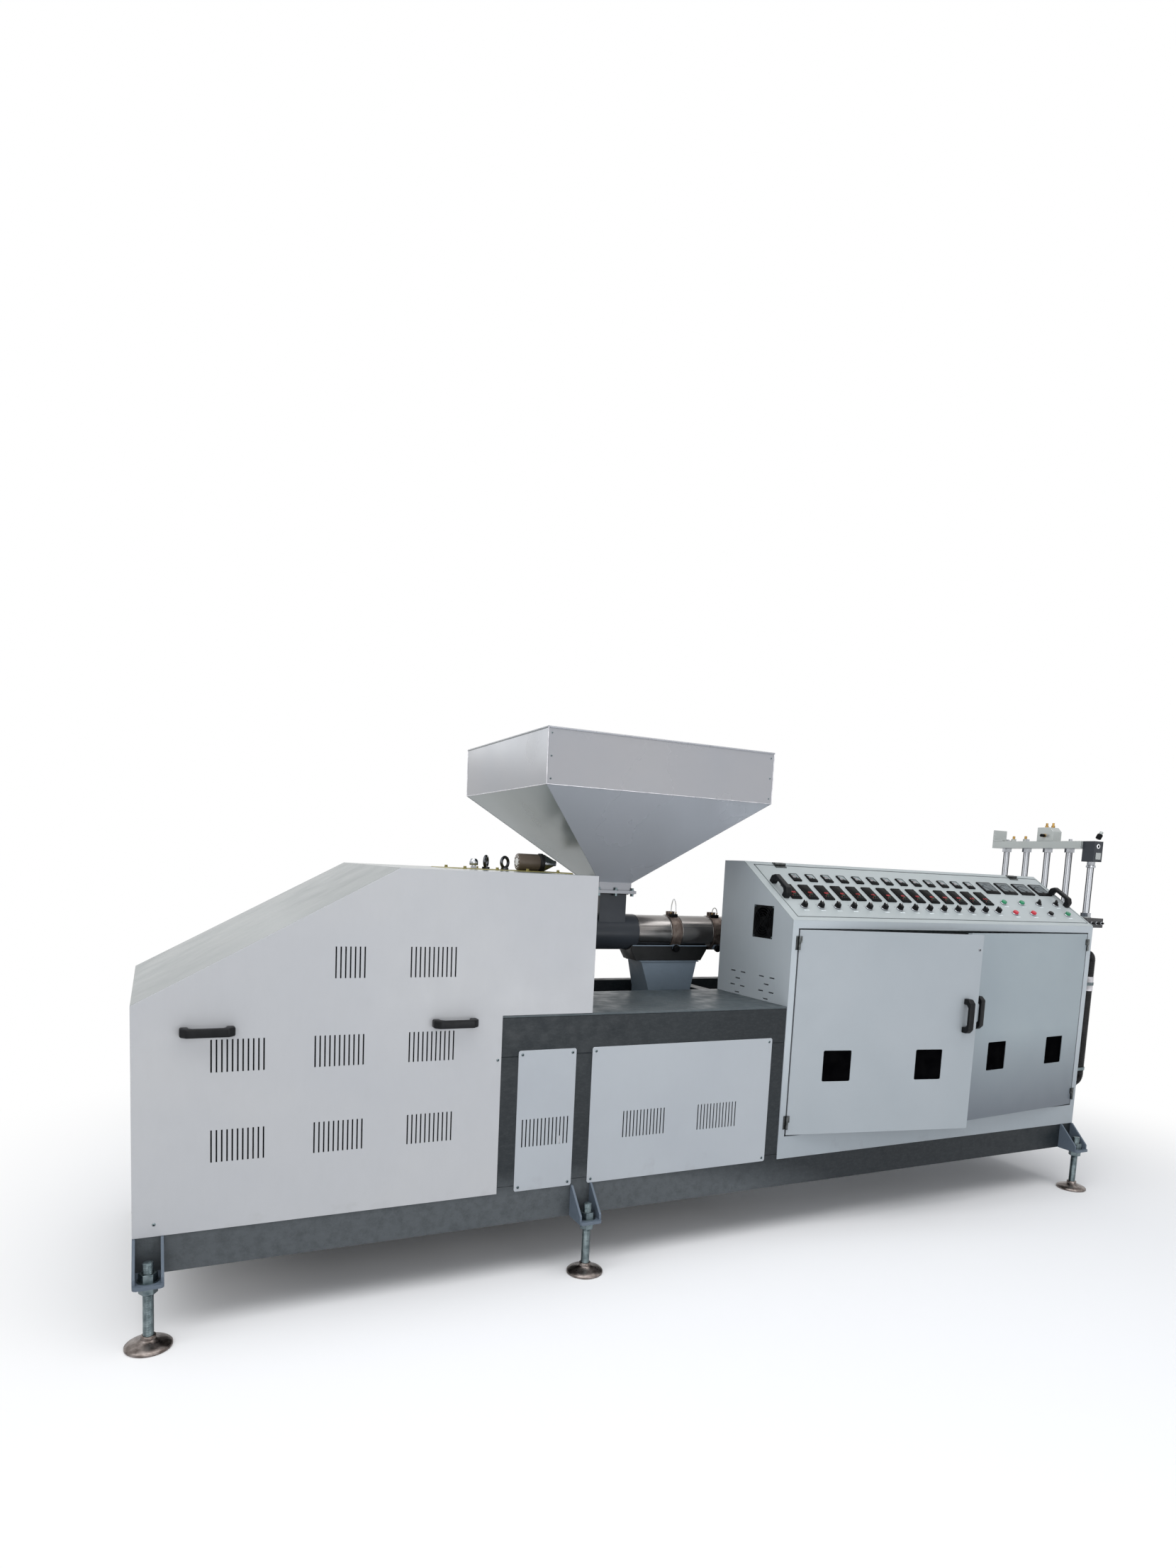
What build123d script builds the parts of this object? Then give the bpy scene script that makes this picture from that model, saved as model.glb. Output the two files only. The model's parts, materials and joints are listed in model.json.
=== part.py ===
from build123d import *
import math
import os

# Plastic extruder in millimetres. X runs along the machine from the drive end to the head,
# Y runs from the operator's side to the back, and Z is up from the floor.

# Sheet metal, gaps and cuts
SHEET = 3  # panels, doors and covers
PANEL_LAP = 20  # how far a panel overlaps the frame behind it
SEAM = 5  # gap round the doors and the instrument lid
FIT_GAP = 0.3  # between round pieces that sit in one another
OVERRUN = 5  # how far a cutting tool passes through

# Base frame
FLOOR_GAP = 181  # floor to the underside of the frame
LOWER_FACE = 110  # height of the lower rail that shows under the panels
BAY_HEIGHT = 477
UPPER_FACE = 118  # height of the upper rail that shows, with the deck plate
POST_FACE = 60
LEG_WIDTH = 1066  # the drive housing below the deck
NARROW_BAY = 208
WIDE_BAY = 751
CABINET_WIDTH = 1710
RAIL_THICKNESS = 60
UPPER_CROSS_HEIGHT = 100
TUBE_WALL = 5
DECK_PLATE = 8
DECK_GAP = 7  # deck plate to the gearbox

# Ventilation slots
SLOT_WIDTH = 4
SLOT_HEIGHT = 94
HOUSING_SLOT_PITCH = 14
BASE_SLOT_PITCH = 13.6
SLOTS_PER_GROUP = 11
SHORT_GROUP = 7
BASE_SLOTS = 13
VENT_LEFTS = (200, 482, 762)  # left slot of each column of groups, from the drive end
VENT_RISES = (198, 459, 723)  # lower end of each row of groups, from the panel's lower edge
BASE_VENT_RISE = 150
PANEL_CORNER = 8
WIDE_VENT_SHARES = (0.285, 0.693)  # centres of the two groups, of the wide bay

# Drive housing
HOUSING_OVERHANG = 321  # beyond the leg, above the deck
HOUSING_RISE = 460  # deck to the flat top
SLOPE_RUN = 726
SLOPE_DROP = 402
GEARBOX_CUT_GAP = 12

# Bridge handles
HANDLE_REACH = 42
HANDLE_WIDTH = 26
HANDLE_FOOT = 24
HANDLE_GRIP = 14
HANDLE_CHAMFER = 16
HOUSING_HANDLE_LENGTH = 144
HOUSING_HANDLE_CENTRES = (192, 905)
HOUSING_HANDLE_RISE = 579  # above the panel's lower edge
DOOR_HANDLE_LENGTH = 138
LID_HANDLE_LENGTH = 124

# Levelling feet
BRACKET_WIDTH = 80
BRACKET_REACH = 100
BRACKET_PLATE = 10
BRACKET_CORNER = 12
GUSSET = 8
GUSSET_TOE = 18  # height of a gusset at the plate's outer edge
FOOT_REACH = 60  # screw axis to the face of the rail
SCREW_RADIUS = 14.5
SCREW_HOLE_RADIUS = 16
SCREW_TOP_RISE = 52  # above the bracket's plate
NUT_HEIGHT = 24
NUT_RADIUS = 25  # over the corners
PAD_RADIUS = 62
PAD_RIM = 9
PAD_DOME = 24
PAD_NECK_RADIUS = 20
PAD_NECK = 12

# Gearbox
AXIS_RISE = 226  # barrel axis above the deck
BARREL_SETBACK = 157  # barrel axis behind the cabinet's back
BACK_SETBACK = 283  # barrel axis to the rear panels
GEARBOX_LENGTH = 486
GEARBOX_OVERHANG = 131  # beyond the drive housing
GEARBOX_WIDTH = 300
GEARBOX_RISE = 236  # top above the barrel axis
GEARBOX_RIB = 14
GEARBOX_FLANGE_RADIUS = 118
GEARBOX_FLANGE = 30
EYE_RADIUS = 20
EYE_BAR_RADIUS = 6
EYE_COLLAR_RADIUS = 15
EYE_COLLAR = 8
EYE_SETBACKS = (308, 231)  # from the gearbox's output face
EYE_TURNS = (55, 30)  # degrees
BREATHER_SETBACK = 357
BREATHER_RADIUS = 17
BREATHER_STEM = 12
BREATHER_CAP = 26
FILTER_SETBACK = 181
FILTER_RADIUS = 33
FILTER_LENGTH = 89
FILTER_RING = 19
FILTER_RING_PROUD = 4
FILTER_CONE = 56
FILTER_TIP_RADIUS = 9

# Feed section and hopper
FEED_OFFSET = 351  # hopper axis beyond the drive housing
FEED_BLOCK = 120
FEED_RISE = 161  # top of the feed block above the barrel axis
FEED_THROAT = 80
FEED_RADIUS = 74
FEED_NOSE = 124  # feed cylinder beyond the hopper axis
NECK_WIDTH = 146
NECK_HEIGHT = 32
HOPPER_FLANGE = 12
HOPPER_FLANGE_WIDTH = 178
CONE_HEIGHT = 333
BAND_HEIGHT = 192
HOPPER_LENGTH = 944
HOPPER_DEPTH = 879

# Barrel with its heaters
BARREL_RADIUS = 50
SCREW_BORE_RADIUS = 32
JACKET_RADIUS = 72
BAND_RADIUS = 75
JACKET_LENGTH = 160
BAND_LENGTH = 48
ADAPTER_ROOM = 100  # least length between the last heater and the head
SUPPORT_WIDTH = 36
SUPPORT_SADDLE = 130
SUPPORT_FOOT = 220
SUPPORT_PLATE = 14
COWL_SETBACK = 28  # start of the cowl behind the nose of the feed cylinder
COWL_LENGTH = 370
COWL_DROP = 44
COWL_HALF_WIDTH = 56
COWL_TAPER = 26
DUCT_TOP_LENGTH = 274
DUCT_FOOT_LENGTH = 205
DUCT_TOP_WIDTH = 120
DUCT_FOOT_WIDTH = 150
DUCT_HEIGHT = 122
BLOWER_RADIUS = 150
BLOWER_WIDTH = 130
BLOWER_INLET_RADIUS = 62
BLOWER_INLET_DEPTH = 60
BLOWER_LIFT = 190  # shaft above the lower cross rails
BLOWER_OUTLET = 205  # outlet flange above the shaft
BLOWER_FOOT = 180
MOTOR_RADIUS = 58
MOTOR_LENGTH = 130

# Head
HEAD_SETOUT = 465  # head axis beyond the base
MANIFOLD_LENGTH = 130
MANIFOLD_WIDTH = 632
MANIFOLD_RISE = 123
MANIFOLD_BAR = 48  # height of the crossbar that carries the rods
MANIFOLD_CORE = 300  # width of the body under it
MANIFOLD_DROP = 112
ADAPTER_RADIUS = 95
ADAPTER_LENGTH = 40
NOZZLE_RADIUS = 19
NOZZLE_LENGTH = 46
NOZZLE_BORE_RADIUS = 9
ROD_COUNT = 5
ROD_PITCH = 130
ROD_RADIUS = 16
PLATE_RISE = 476  # underside of the transverse plate above the barrel axis
PLATE_THICKNESS = 38
PLATE_WIDTH = 100
PLATE_FAR_LAP = 60  # plate beyond the last rod
PLATE_NEAR_GAP = 8  # plate short of the clamp on the nearest rod
CLAMP_WIDTH = 66
CLAMP_HEIGHT = 104
VALVE_LENGTH = 96
VALVE_HEIGHT = 74
VALVE_WIDTH = 70
VALVE_SLANT = 22
ANGLE_LEG = 62
ANGLE_THICKNESS = 8

# Control cabinet
CABINET_FRONT = 923  # height of the upright front
CABINET_DEPTH = 478
DESK_RUN = 340
DESK_RISE = 215
DOOR_SIDE_MARGIN = 28
DOOR_LOWER_MARGIN = 88
DOOR_UPPER_MARGIN = 31
DOOR_FOLD = 20
DOOR_AJAR = (10.4, 5.0)  # degrees that the left and right doors stand open
DOOR_VENT = 122
LEFT_VENT_SHARES = (0.168, 0.671)  # near edges of the vents from the hinges, of the door's width
RIGHT_VENT_SHARES = (0.137, 0.64)
DOOR_VENT_RISE = 213
DOOR_VENT_CORNER = 6
DOOR_HANDLE_INSET = 56
DOOR_HANDLE_RISE = 473
HINGE_HEIGHT = 52
HINGE_LEAF = 13
HINGE_STANDOFF = 6  # pin axis in front of the door
KNUCKLE_RADIUS = 5
PIN_RADIUS = 2.5
PIN_FIT = 0.08
HINGE_INSET = 55  # centre of a hinge from the door's upper or lower edge
FAN_SIDE = 128
FAN_DEPTH = 38
FAN_DEPTH_CENTRE = 188  # from the front
FAN_DROP = 20  # centre of the fan below the cabinet's upright front
FAN_HUB_RADIUS = 22
FAN_BLADES = 7
FAN_BLADE_SHARE = 0.33  # half width of a blade, of the fan's depth
FAN_PITCH_ANGLE = 45  # degrees
FAN_RING = 5
LOUVRE_LENGTH = 32
LOUVRE_HEIGHT = 5
LOUVRE_GROUPS = (142, 335)  # centres of the two groups from the front
LOUVRE_STEP = 34
LOUVRE_ROW_STEP = 28.5
LOUVRE_RISE = 6  # lowest row above the deck
LOUVRE_ROWS = 4
CONDUIT_RADIUS = 22
CONDUIT_STANDOFF = 42  # centre line off the cabinet's side
CONDUIT_BEND = 30
CONDUIT_DEPTH = 26  # from the front
CONDUIT_DROP = 133  # upper entry below the cabinet's upright front
CONDUIT_RISE = 195  # lower entry above the panel's lower edge
CLIP_SHARES = (0.227, 0.9)  # of the conduit's drop
CLIP_WIDTH = 14
CLIP_WALL = 2
CLIP_FOOT = 13

# Instrument lid on the slanted desk
LID_LOWER_MARGIN = 28
LID_UPPER_MARGIN = 24
LID_LEFT_MARGIN = 38
LID_RIGHT_MARGIN = 12
LID_FOLD = 18
LID_HINGE_LENGTH = 54
LID_HINGE_LEAF = 15
LID_HINGE_INSETS = (134, 146)
CONTROLLER_WIDTH = 48
CONTROLLER_HEIGHT = 96
CONTROLLER_PITCH = 82
CONTROLLER_START = 80  # left edge of the first one from the cabinet's side
CONTROLLER_RISE = 140  # lower edge up the desk
INSTRUMENT_BEZEL = 6
INSTRUMENT_LIP = 2  # bezel beyond the cut-out
INSTRUMENT_BODY = 62
METER_WIDTH = 40
METER_HEIGHT = 50
METER_RISE = 266
BIG_METER_COUNT = 4
BIG_METER_SIDE = 86
BIG_METER_END = 41  # right edge of the last one from the cabinet's side
BIG_METER_PITCH = 115
BIG_METER_RISE = 234
KNOB_RADIUS = 11
KNOB_HEIGHT = 22
KNOB_COLLAR_RADIUS = 15
KNOB_COLLAR = 5
KNOB_RISE = 90
BUTTON_INSET = 34  # centre from the left edge of the large meter over it
BUTTON_RISES = (82, 161)
BUTTON_RADIUS = 12
BUTTON_HEIGHT = 14

# Places that follow from the sizes
AXIS_DEPTH = CABINET_DEPTH + BARREL_SETBACK
BASE_DEPTH = AXIS_DEPTH + BACK_SETBACK
POST_A = LEG_WIDTH
NARROW_LEFT = POST_A + POST_FACE
POST_B = NARROW_LEFT + NARROW_BAY
WIDE_LEFT = POST_B + POST_FACE
POST_C = WIDE_LEFT + WIDE_BAY
CABINET_LEFT = POST_C + POST_FACE
BASE_END = CABINET_LEFT + CABINET_WIDTH
PANEL_BOTTOM = FLOOR_GAP + LOWER_FACE
BAY_TOP = PANEL_BOTTOM + BAY_HEIGHT
DECK_TOP = BAY_TOP + UPPER_FACE
RAIL_TOP = DECK_TOP - DECK_PLATE
LOWER_RAIL_TOP = PANEL_BOTTOM + PANEL_LAP
FRAME_FRONT = SHEET
FRAME_BACK = BASE_DEPTH - SHEET
FRONT_RAIL_BACK = FRAME_FRONT + RAIL_THICKNESS
REAR_RAIL_FRONT = FRAME_BACK - RAIL_THICKNESS
HOUSING_RIGHT = LEG_WIDTH + HOUSING_OVERHANG
HOUSING_TOP = DECK_TOP + HOUSING_RISE
SLOPE_FOOT = HOUSING_TOP - SLOPE_DROP
AXIS_HEIGHT = DECK_TOP + AXIS_RISE
GEARBOX_RIGHT = HOUSING_RIGHT + GEARBOX_OVERHANG
GEARBOX_LEFT = GEARBOX_RIGHT - GEARBOX_LENGTH
GEARBOX_TOP = AXIS_HEIGHT + GEARBOX_RISE
FEED_X = HOUSING_RIGHT + FEED_OFFSET
FEED_TOP = AXIS_HEIGHT + FEED_RISE
BARREL_START = FEED_X + FEED_NOSE
HEATER_PITCH = JACKET_LENGTH + BAND_LENGTH
HEAD_X = BASE_END + HEAD_SETOUT
MANIFOLD_LEFT = HEAD_X - MANIFOLD_LENGTH / 2
HEATER_COUNT = math.floor((MANIFOLD_LEFT - ADAPTER_ROOM - BARREL_START) / HEATER_PITCH)
HEATER_END = BARREL_START + HEATER_COUNT * HEATER_PITCH
NOZZLE_HEIGHT = AXIS_HEIGHT + MANIFOLD_RISE - MANIFOLD_BAR / 2
CABINET_FRONT_TOP = PANEL_BOTTOM + CABINET_FRONT
CABINET_TOP = CABINET_FRONT_TOP + DESK_RISE
DESK_LENGTH = math.hypot(DESK_RUN, DESK_RISE)
DESK_ANGLE = math.degrees(math.atan2(DESK_RISE, DESK_RUN))
DOOR_LEFT = CABINET_LEFT + DOOR_SIDE_MARGIN
DOOR_RIGHT = BASE_END - DOOR_SIDE_MARGIN
DOOR_BOTTOM = PANEL_BOTTOM + DOOR_LOWER_MARGIN
DOOR_TOP = CABINET_FRONT_TOP - DOOR_UPPER_MARGIN
DOOR_WIDTH = (DOOR_RIGHT - DOOR_LEFT - 3 * SEAM) / 2
BIG_METERS_LEFT = BASE_END - BIG_METER_END - BIG_METER_SIDE - (BIG_METER_COUNT - 1) * BIG_METER_PITCH
CONTROLLERS_LEFT = CABINET_LEFT + CONTROLLER_START
CONTROLLER_COUNT = math.floor((BIG_METERS_LEFT - CONTROLLERS_LEFT) / CONTROLLER_PITCH)
LID_LEFT = CABINET_LEFT + LID_LEFT_MARGIN
LID_RIGHT = BASE_END - LID_RIGHT_MARGIN
LID_TOP = DESK_LENGTH - LID_UPPER_MARGIN
MID_POST = CABINET_LEFT + (CABINET_WIDTH - POST_FACE) / 2
COWL_LEFT = BARREL_START - COWL_SETBACK
DUCT_X = COWL_LEFT + COWL_LENGTH / 2
COWL_BOTTOM = AXIS_HEIGHT - JACKET_RADIUS - COWL_DROP
BLOWER_SHAFT = LOWER_RAIL_TOP + BLOWER_LIFT
BLOWER_TOP = BLOWER_SHAFT + BLOWER_OUTLET
LOWER_CROSS_LEFTS = (
    0, POST_A, POST_B, DUCT_X - POST_FACE / 2, POST_C, MID_POST, BASE_END - POST_FACE
)

desk = Pos(0, 0, CABINET_FRONT_TOP) * Rot(DESK_ANGLE, 0, 0)


# Shapes that recur
def span(x0, x1, y0, y1, z0, z1):
    centre = Pos((x0 + x1) / 2, (y0 + y1) / 2, (z0 + z1) / 2)
    return centre * Box(x1 - x0, y1 - y0, z1 - z0)


def prism_along_y(outline, y0, y1):
    face = make_face(Polyline(*[(x, y0, z) for x, z in outline], close=True))
    return extrude(face, amount=y1 - y0, dir=(0, 1, 0))


def prism_along_x(outline, x0, x1):
    face = make_face(Polyline(*[(x0, y, z) for y, z in outline], close=True))
    return extrude(face, amount=x1 - x0, dir=(1, 0, 0))


def rod_along_x(x0, x1, y, z, radius):
    return Pos((x0 + x1) / 2, y, z) * Rot(0, 90, 0) * Cylinder(radius, x1 - x0)


def rod_along_y(x, y0, y1, z, radius):
    return Pos(x, (y0 + y1) / 2, z) * Rot(90, 0, 0) * Cylinder(radius, y1 - y0)


def rod_along_z(x, y, z0, z1, radius):
    return Pos(x, y, (z0 + z1) / 2) * Cylinder(radius, z1 - z0)


def box_tube(x0, x1, y0, y1, z0, z1, along):
    inset = {axis: -OVERRUN if axis == along else TUBE_WALL for axis in "xyz"}
    hollow = span(
        x0 + inset["x"], x1 - inset["x"], y0 + inset["y"], y1 - inset["y"], z0 + inset["z"], z1 - inset["z"]
    )
    return span(x0, x1, y0, y1, z0, z1) - hollow


def slots(left, bottom, count, pitch, y0):
    return [
        span(
            left + index * pitch, left + index * pitch + SLOT_WIDTH,
            y0 - OVERRUN, y0 + SHEET + OVERRUN, bottom, bottom + SLOT_HEIGHT,
        )
        for index in range(count)
    ]


def bridge_handle(length):
    # Lies along X and stands up along Z, centred on its base.
    inner_reach = HANDLE_REACH - HANDLE_GRIP
    inner_chamfer = HANDLE_CHAMFER * inner_reach / HANDLE_REACH
    outer = half_arch(length / 2, HANDLE_REACH, HANDLE_CHAMFER)
    inner = half_arch(length / 2 - HANDLE_FOOT, inner_reach, inner_chamfer)
    half_width = HANDLE_WIDTH / 2
    arch = prism_along_y(outer, -half_width, half_width)
    return arch - prism_along_y(inner, -half_width - OVERRUN, half_width + OVERRUN)


def half_arch(half_length, reach, chamfer):
    return [
        (-half_length, 0),
        (-half_length, reach - chamfer),
        (-half_length + chamfer, reach),
        (half_length - chamfer, reach),
        (half_length, reach - chamfer),
        (half_length, 0),
    ]


def mirrored_to_back(piece):
    return mirror(piece, about=Plane.XZ.offset(-BASE_DEPTH / 2))


# Base frame
def lower_side_rails():
    front = box_tube(0, BASE_END, FRAME_FRONT, FRONT_RAIL_BACK, FLOOR_GAP, LOWER_RAIL_TOP, "x")
    return [front, mirrored_to_back(front)]


def lower_cross_rails():
    return [
        box_tube(left, left + POST_FACE, FRONT_RAIL_BACK, REAR_RAIL_FRONT, FLOOR_GAP, LOWER_RAIL_TOP, "y")
        for left in LOWER_CROSS_LEFTS
    ]


def post(left, right):
    return box_tube(left, right, FRAME_FRONT, FRONT_RAIL_BACK, LOWER_RAIL_TOP, BAY_TOP - PANEL_LAP, "z")


def frame_posts():
    front = [
        post(POST_A - PANEL_LAP, NARROW_LEFT + PANEL_LAP),
        post(POST_B - PANEL_LAP, WIDE_LEFT + PANEL_LAP),
        post(POST_C - PANEL_LAP, CABINET_LEFT),
    ]
    rear_only = [
        post(MID_POST - PANEL_LAP, MID_POST + POST_FACE + PANEL_LAP),
        post(BASE_END - POST_FACE - PANEL_LAP, BASE_END),
    ]
    return front + [mirrored_to_back(piece) for piece in front + rear_only]


def upper_side_rails():
    left = POST_A - PANEL_LAP
    front = box_tube(left, CABINET_LEFT, FRAME_FRONT, FRONT_RAIL_BACK, BAY_TOP - PANEL_LAP, RAIL_TOP, "x")
    rear = box_tube(left, BASE_END, REAR_RAIL_FRONT, FRAME_BACK, BAY_TOP - PANEL_LAP, RAIL_TOP, "x")
    return [front, rear]


def upper_cross_rails():
    bottom = RAIL_TOP - UPPER_CROSS_HEIGHT
    full = [
        box_tube(left, left + POST_FACE, FRONT_RAIL_BACK, REAR_RAIL_FRONT, bottom, RAIL_TOP, "y")
        for left in (POST_A, POST_B, POST_C)
    ]
    short = [
        box_tube(left, left + POST_FACE, CABINET_DEPTH, REAR_RAIL_FRONT, bottom, RAIL_TOP, "y")
        for left in (MID_POST, BASE_END - POST_FACE)
    ]
    return full + short


def deck_plate():
    back = AXIS_DEPTH - GEARBOX_WIDTH / 2 - DECK_GAP
    return span(POST_A - PANEL_LAP, CABINET_LEFT, FRAME_FRONT, back, RAIL_TOP, DECK_TOP)


def vent_panel(left, width, shares):
    panel = span(left, left + width, 0, SHEET, PANEL_BOTTOM, BAY_TOP)
    panel = fillet(panel.edges().filter_by(Axis.Y), PANEL_CORNER)
    group = (BASE_SLOTS - 1) * BASE_SLOT_PITCH + SLOT_WIDTH
    for share in shares:
        start = left + width * share - group / 2
        panel -= slots(start, PANEL_BOTTOM + BASE_VENT_RISE, BASE_SLOTS, BASE_SLOT_PITCH, 0)
    return panel


def vent_panels():
    narrow = vent_panel(NARROW_LEFT, NARROW_BAY, (1 / 2,))
    wide = vent_panel(WIDE_LEFT, WIDE_BAY, WIDE_VENT_SHARES)
    left_of_mid = vent_panel(CABINET_LEFT, MID_POST - CABINET_LEFT, WIDE_VENT_SHARES)
    right_start = MID_POST + POST_FACE
    right_of_mid = vent_panel(right_start, BASE_END - POST_FACE - right_start, WIDE_VENT_SHARES)
    rear = [mirrored_to_back(panel) for panel in (narrow, wide, left_of_mid, right_of_mid)]
    return [narrow, wide] + rear


# Levelling feet
def foot_places():
    columns = (BRACKET_WIDTH / 2, POST_B + BRACKET_WIDTH / 2, BASE_END - BRACKET_WIDTH / 2)
    return [(x, FRAME_FRONT - FOOT_REACH) for x in columns]


def at_all_feet(piece):
    front = [Pos(x, y, 0) * piece for x, y in foot_places()]
    return front + [mirrored_to_back(foot) for foot in front]


def foot_bracket():
    # Drawn about the screw axis. The rail's face is one reach behind it.
    half = BRACKET_WIDTH / 2
    outer = FOOT_REACH - BRACKET_REACH
    plate_top = FLOOR_GAP + BRACKET_PLATE
    plate = span(-half, half, outer, FOOT_REACH, FLOOR_GAP, plate_top)
    plate = fillet(plate.edges().filter_by(Axis.Z).sort_by(Axis.Y)[:2], BRACKET_CORNER)
    toe = outer + BRACKET_CORNER
    gusset_outline = [
        (toe, plate_top),
        (FOOT_REACH, plate_top),
        (FOOT_REACH, PANEL_BOTTOM),
        (FOOT_REACH - GUSSET, PANEL_BOTTOM),
        (toe, plate_top + GUSSET_TOE),
    ]
    left = prism_along_x(gusset_outline, -half, GUSSET - half)
    right = prism_along_x(gusset_outline, half - GUSSET, half)
    hole = rod_along_z(0, 0, FLOOR_GAP - OVERRUN, plate_top + OVERRUN, SCREW_HOLE_RADIUS)
    return plate + left + right - hole


def foot_screw():
    return rod_along_z(0, 0, PAD_DOME, FLOOR_GAP + BRACKET_PLATE + SCREW_TOP_RISE, SCREW_RADIUS)


def lock_nut(bottom):
    nut = Pos(0, 0, bottom) * extrude(RegularPolygon(NUT_RADIUS, 6), amount=NUT_HEIGHT)
    return nut - rod_along_z(0, 0, bottom - OVERRUN, bottom + NUT_HEIGHT + OVERRUN, SCREW_RADIUS + FIT_GAP)


def foot_nuts():
    below = lock_nut(FLOOR_GAP - NUT_HEIGHT)
    above = lock_nut(FLOOR_GAP + BRACKET_PLATE)
    return at_all_feet(below) + at_all_feet(above)


def foot_pad():
    outline = [
        (0, 0), (PAD_RADIUS, 0), (PAD_RADIUS, PAD_RIM), (PAD_NECK_RADIUS, PAD_DOME),
        (PAD_NECK_RADIUS, PAD_DOME + PAD_NECK), (0, PAD_DOME + PAD_NECK),
    ]
    profile = make_face(Polyline(*[(r, 0, z) for r, z in outline], close=True))
    socket = rod_along_z(0, 0, PAD_DOME, PAD_DOME + PAD_NECK + OVERRUN, SCREW_RADIUS + FIT_GAP)
    return revolve(profile, Axis.Z) - socket


# Drive housing
def housing_front_panel():
    outline = [
        (0, PANEL_BOTTOM), (LEG_WIDTH, PANEL_BOTTOM), (LEG_WIDTH, DECK_TOP), (HOUSING_RIGHT, DECK_TOP),
        (HOUSING_RIGHT, HOUSING_TOP), (SLOPE_RUN, HOUSING_TOP), (0, SLOPE_FOOT),
    ]
    panel = prism_along_y(outline, 0, SHEET)
    first, second, third = VENT_LEFTS
    for left in VENT_LEFTS:
        for rise in VENT_RISES[:2]:
            panel -= slots(left, PANEL_BOTTOM + rise, SLOTS_PER_GROUP, HOUSING_SLOT_PITCH, 0)
    top_rise = PANEL_BOTTOM + VENT_RISES[2]
    short_left = second + (SLOTS_PER_GROUP - SHORT_GROUP) * HOUSING_SLOT_PITCH
    panel -= slots(short_left, top_rise, SHORT_GROUP, HOUSING_SLOT_PITCH, 0)
    panel -= slots(third, top_rise, SLOTS_PER_GROUP, HOUSING_SLOT_PITCH, 0)
    return panel


def slope_cover_drop():
    # Thickness of the sloping sheet, measured upright.
    return SHEET * math.hypot(SLOPE_RUN, SLOPE_DROP) / SLOPE_RUN


def housing_drive_end():
    return span(0, SHEET, SHEET, FRAME_BACK, LOWER_RAIL_TOP, SLOPE_FOOT - slope_cover_drop())


def slope_cover():
    drop = slope_cover_drop()
    outline = [
        (0, SLOPE_FOOT - drop), (0, SLOPE_FOOT), (SLOPE_RUN, HOUSING_TOP), (SLOPE_RUN, HOUSING_TOP - drop)
    ]
    return prism_along_y(outline, SHEET, FRAME_BACK)


def gearbox_clearance():
    return span(
        GEARBOX_LEFT - GEARBOX_CUT_GAP, GEARBOX_RIGHT,
        AXIS_DEPTH - GEARBOX_WIDTH / 2 - GEARBOX_CUT_GAP, AXIS_DEPTH + GEARBOX_WIDTH / 2 + GEARBOX_CUT_GAP,
        FLOOR_GAP, HOUSING_TOP + OVERRUN,
    )


def top_cover():
    cover = span(SLOPE_RUN, HOUSING_RIGHT, SHEET, FRAME_BACK, HOUSING_TOP - SHEET, HOUSING_TOP)
    return cover - gearbox_clearance()


def housing_feed_end():
    panel = span(HOUSING_RIGHT - SHEET, HOUSING_RIGHT, SHEET, FRAME_BACK, DECK_TOP, HOUSING_TOP - SHEET)
    return panel - gearbox_clearance()


def housing_handles():
    on_front = Rot(90, 0, 0) * bridge_handle(HOUSING_HANDLE_LENGTH)
    height = PANEL_BOTTOM + HOUSING_HANDLE_RISE
    front = [Pos(centre, 0, height) * on_front for centre in HOUSING_HANDLE_CENTRES]
    return front + [mirrored_to_back(handle) for handle in front]


# Gearbox with what stands on it
def gearbox():
    half = GEARBOX_WIDTH / 2
    case = span(GEARBOX_LEFT, GEARBOX_RIGHT, AXIS_DEPTH - half, AXIS_DEPTH + half, RAIL_TOP, GEARBOX_TOP)
    case = fillet(case.edges().filter_by(Axis.Z), GEARBOX_RIB)
    flange_end = GEARBOX_RIGHT + GEARBOX_FLANGE
    return case + rod_along_x(GEARBOX_RIGHT, flange_end, AXIS_DEPTH, AXIS_HEIGHT, GEARBOX_FLANGE_RADIUS)


def lifting_eye(turn):
    ring_height = EYE_COLLAR + EYE_RADIUS
    collar = rod_along_z(0, 0, 0, EYE_COLLAR, EYE_COLLAR_RADIUS)
    ring = Pos(0, 0, ring_height) * Rot(90, 0, 0) * Torus(EYE_RADIUS, EYE_BAR_RADIUS)
    return Rot(0, 0, turn) * (collar + ring)


def lifting_eyes():
    return [
        Pos(GEARBOX_RIGHT - setback, AXIS_DEPTH, GEARBOX_TOP) * lifting_eye(turn)
        for setback, turn in zip(EYE_SETBACKS, EYE_TURNS)
    ]


def gearbox_breather():
    x = GEARBOX_RIGHT - BREATHER_SETBACK
    stem_top = GEARBOX_TOP + BREATHER_STEM
    stem = rod_along_z(x, AXIS_DEPTH, GEARBOX_TOP, stem_top, BREATHER_RADIUS - EYE_BAR_RADIUS)
    return stem + rod_along_z(x, AXIS_DEPTH, stem_top, stem_top + BREATHER_CAP, BREATHER_RADIUS)


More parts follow.
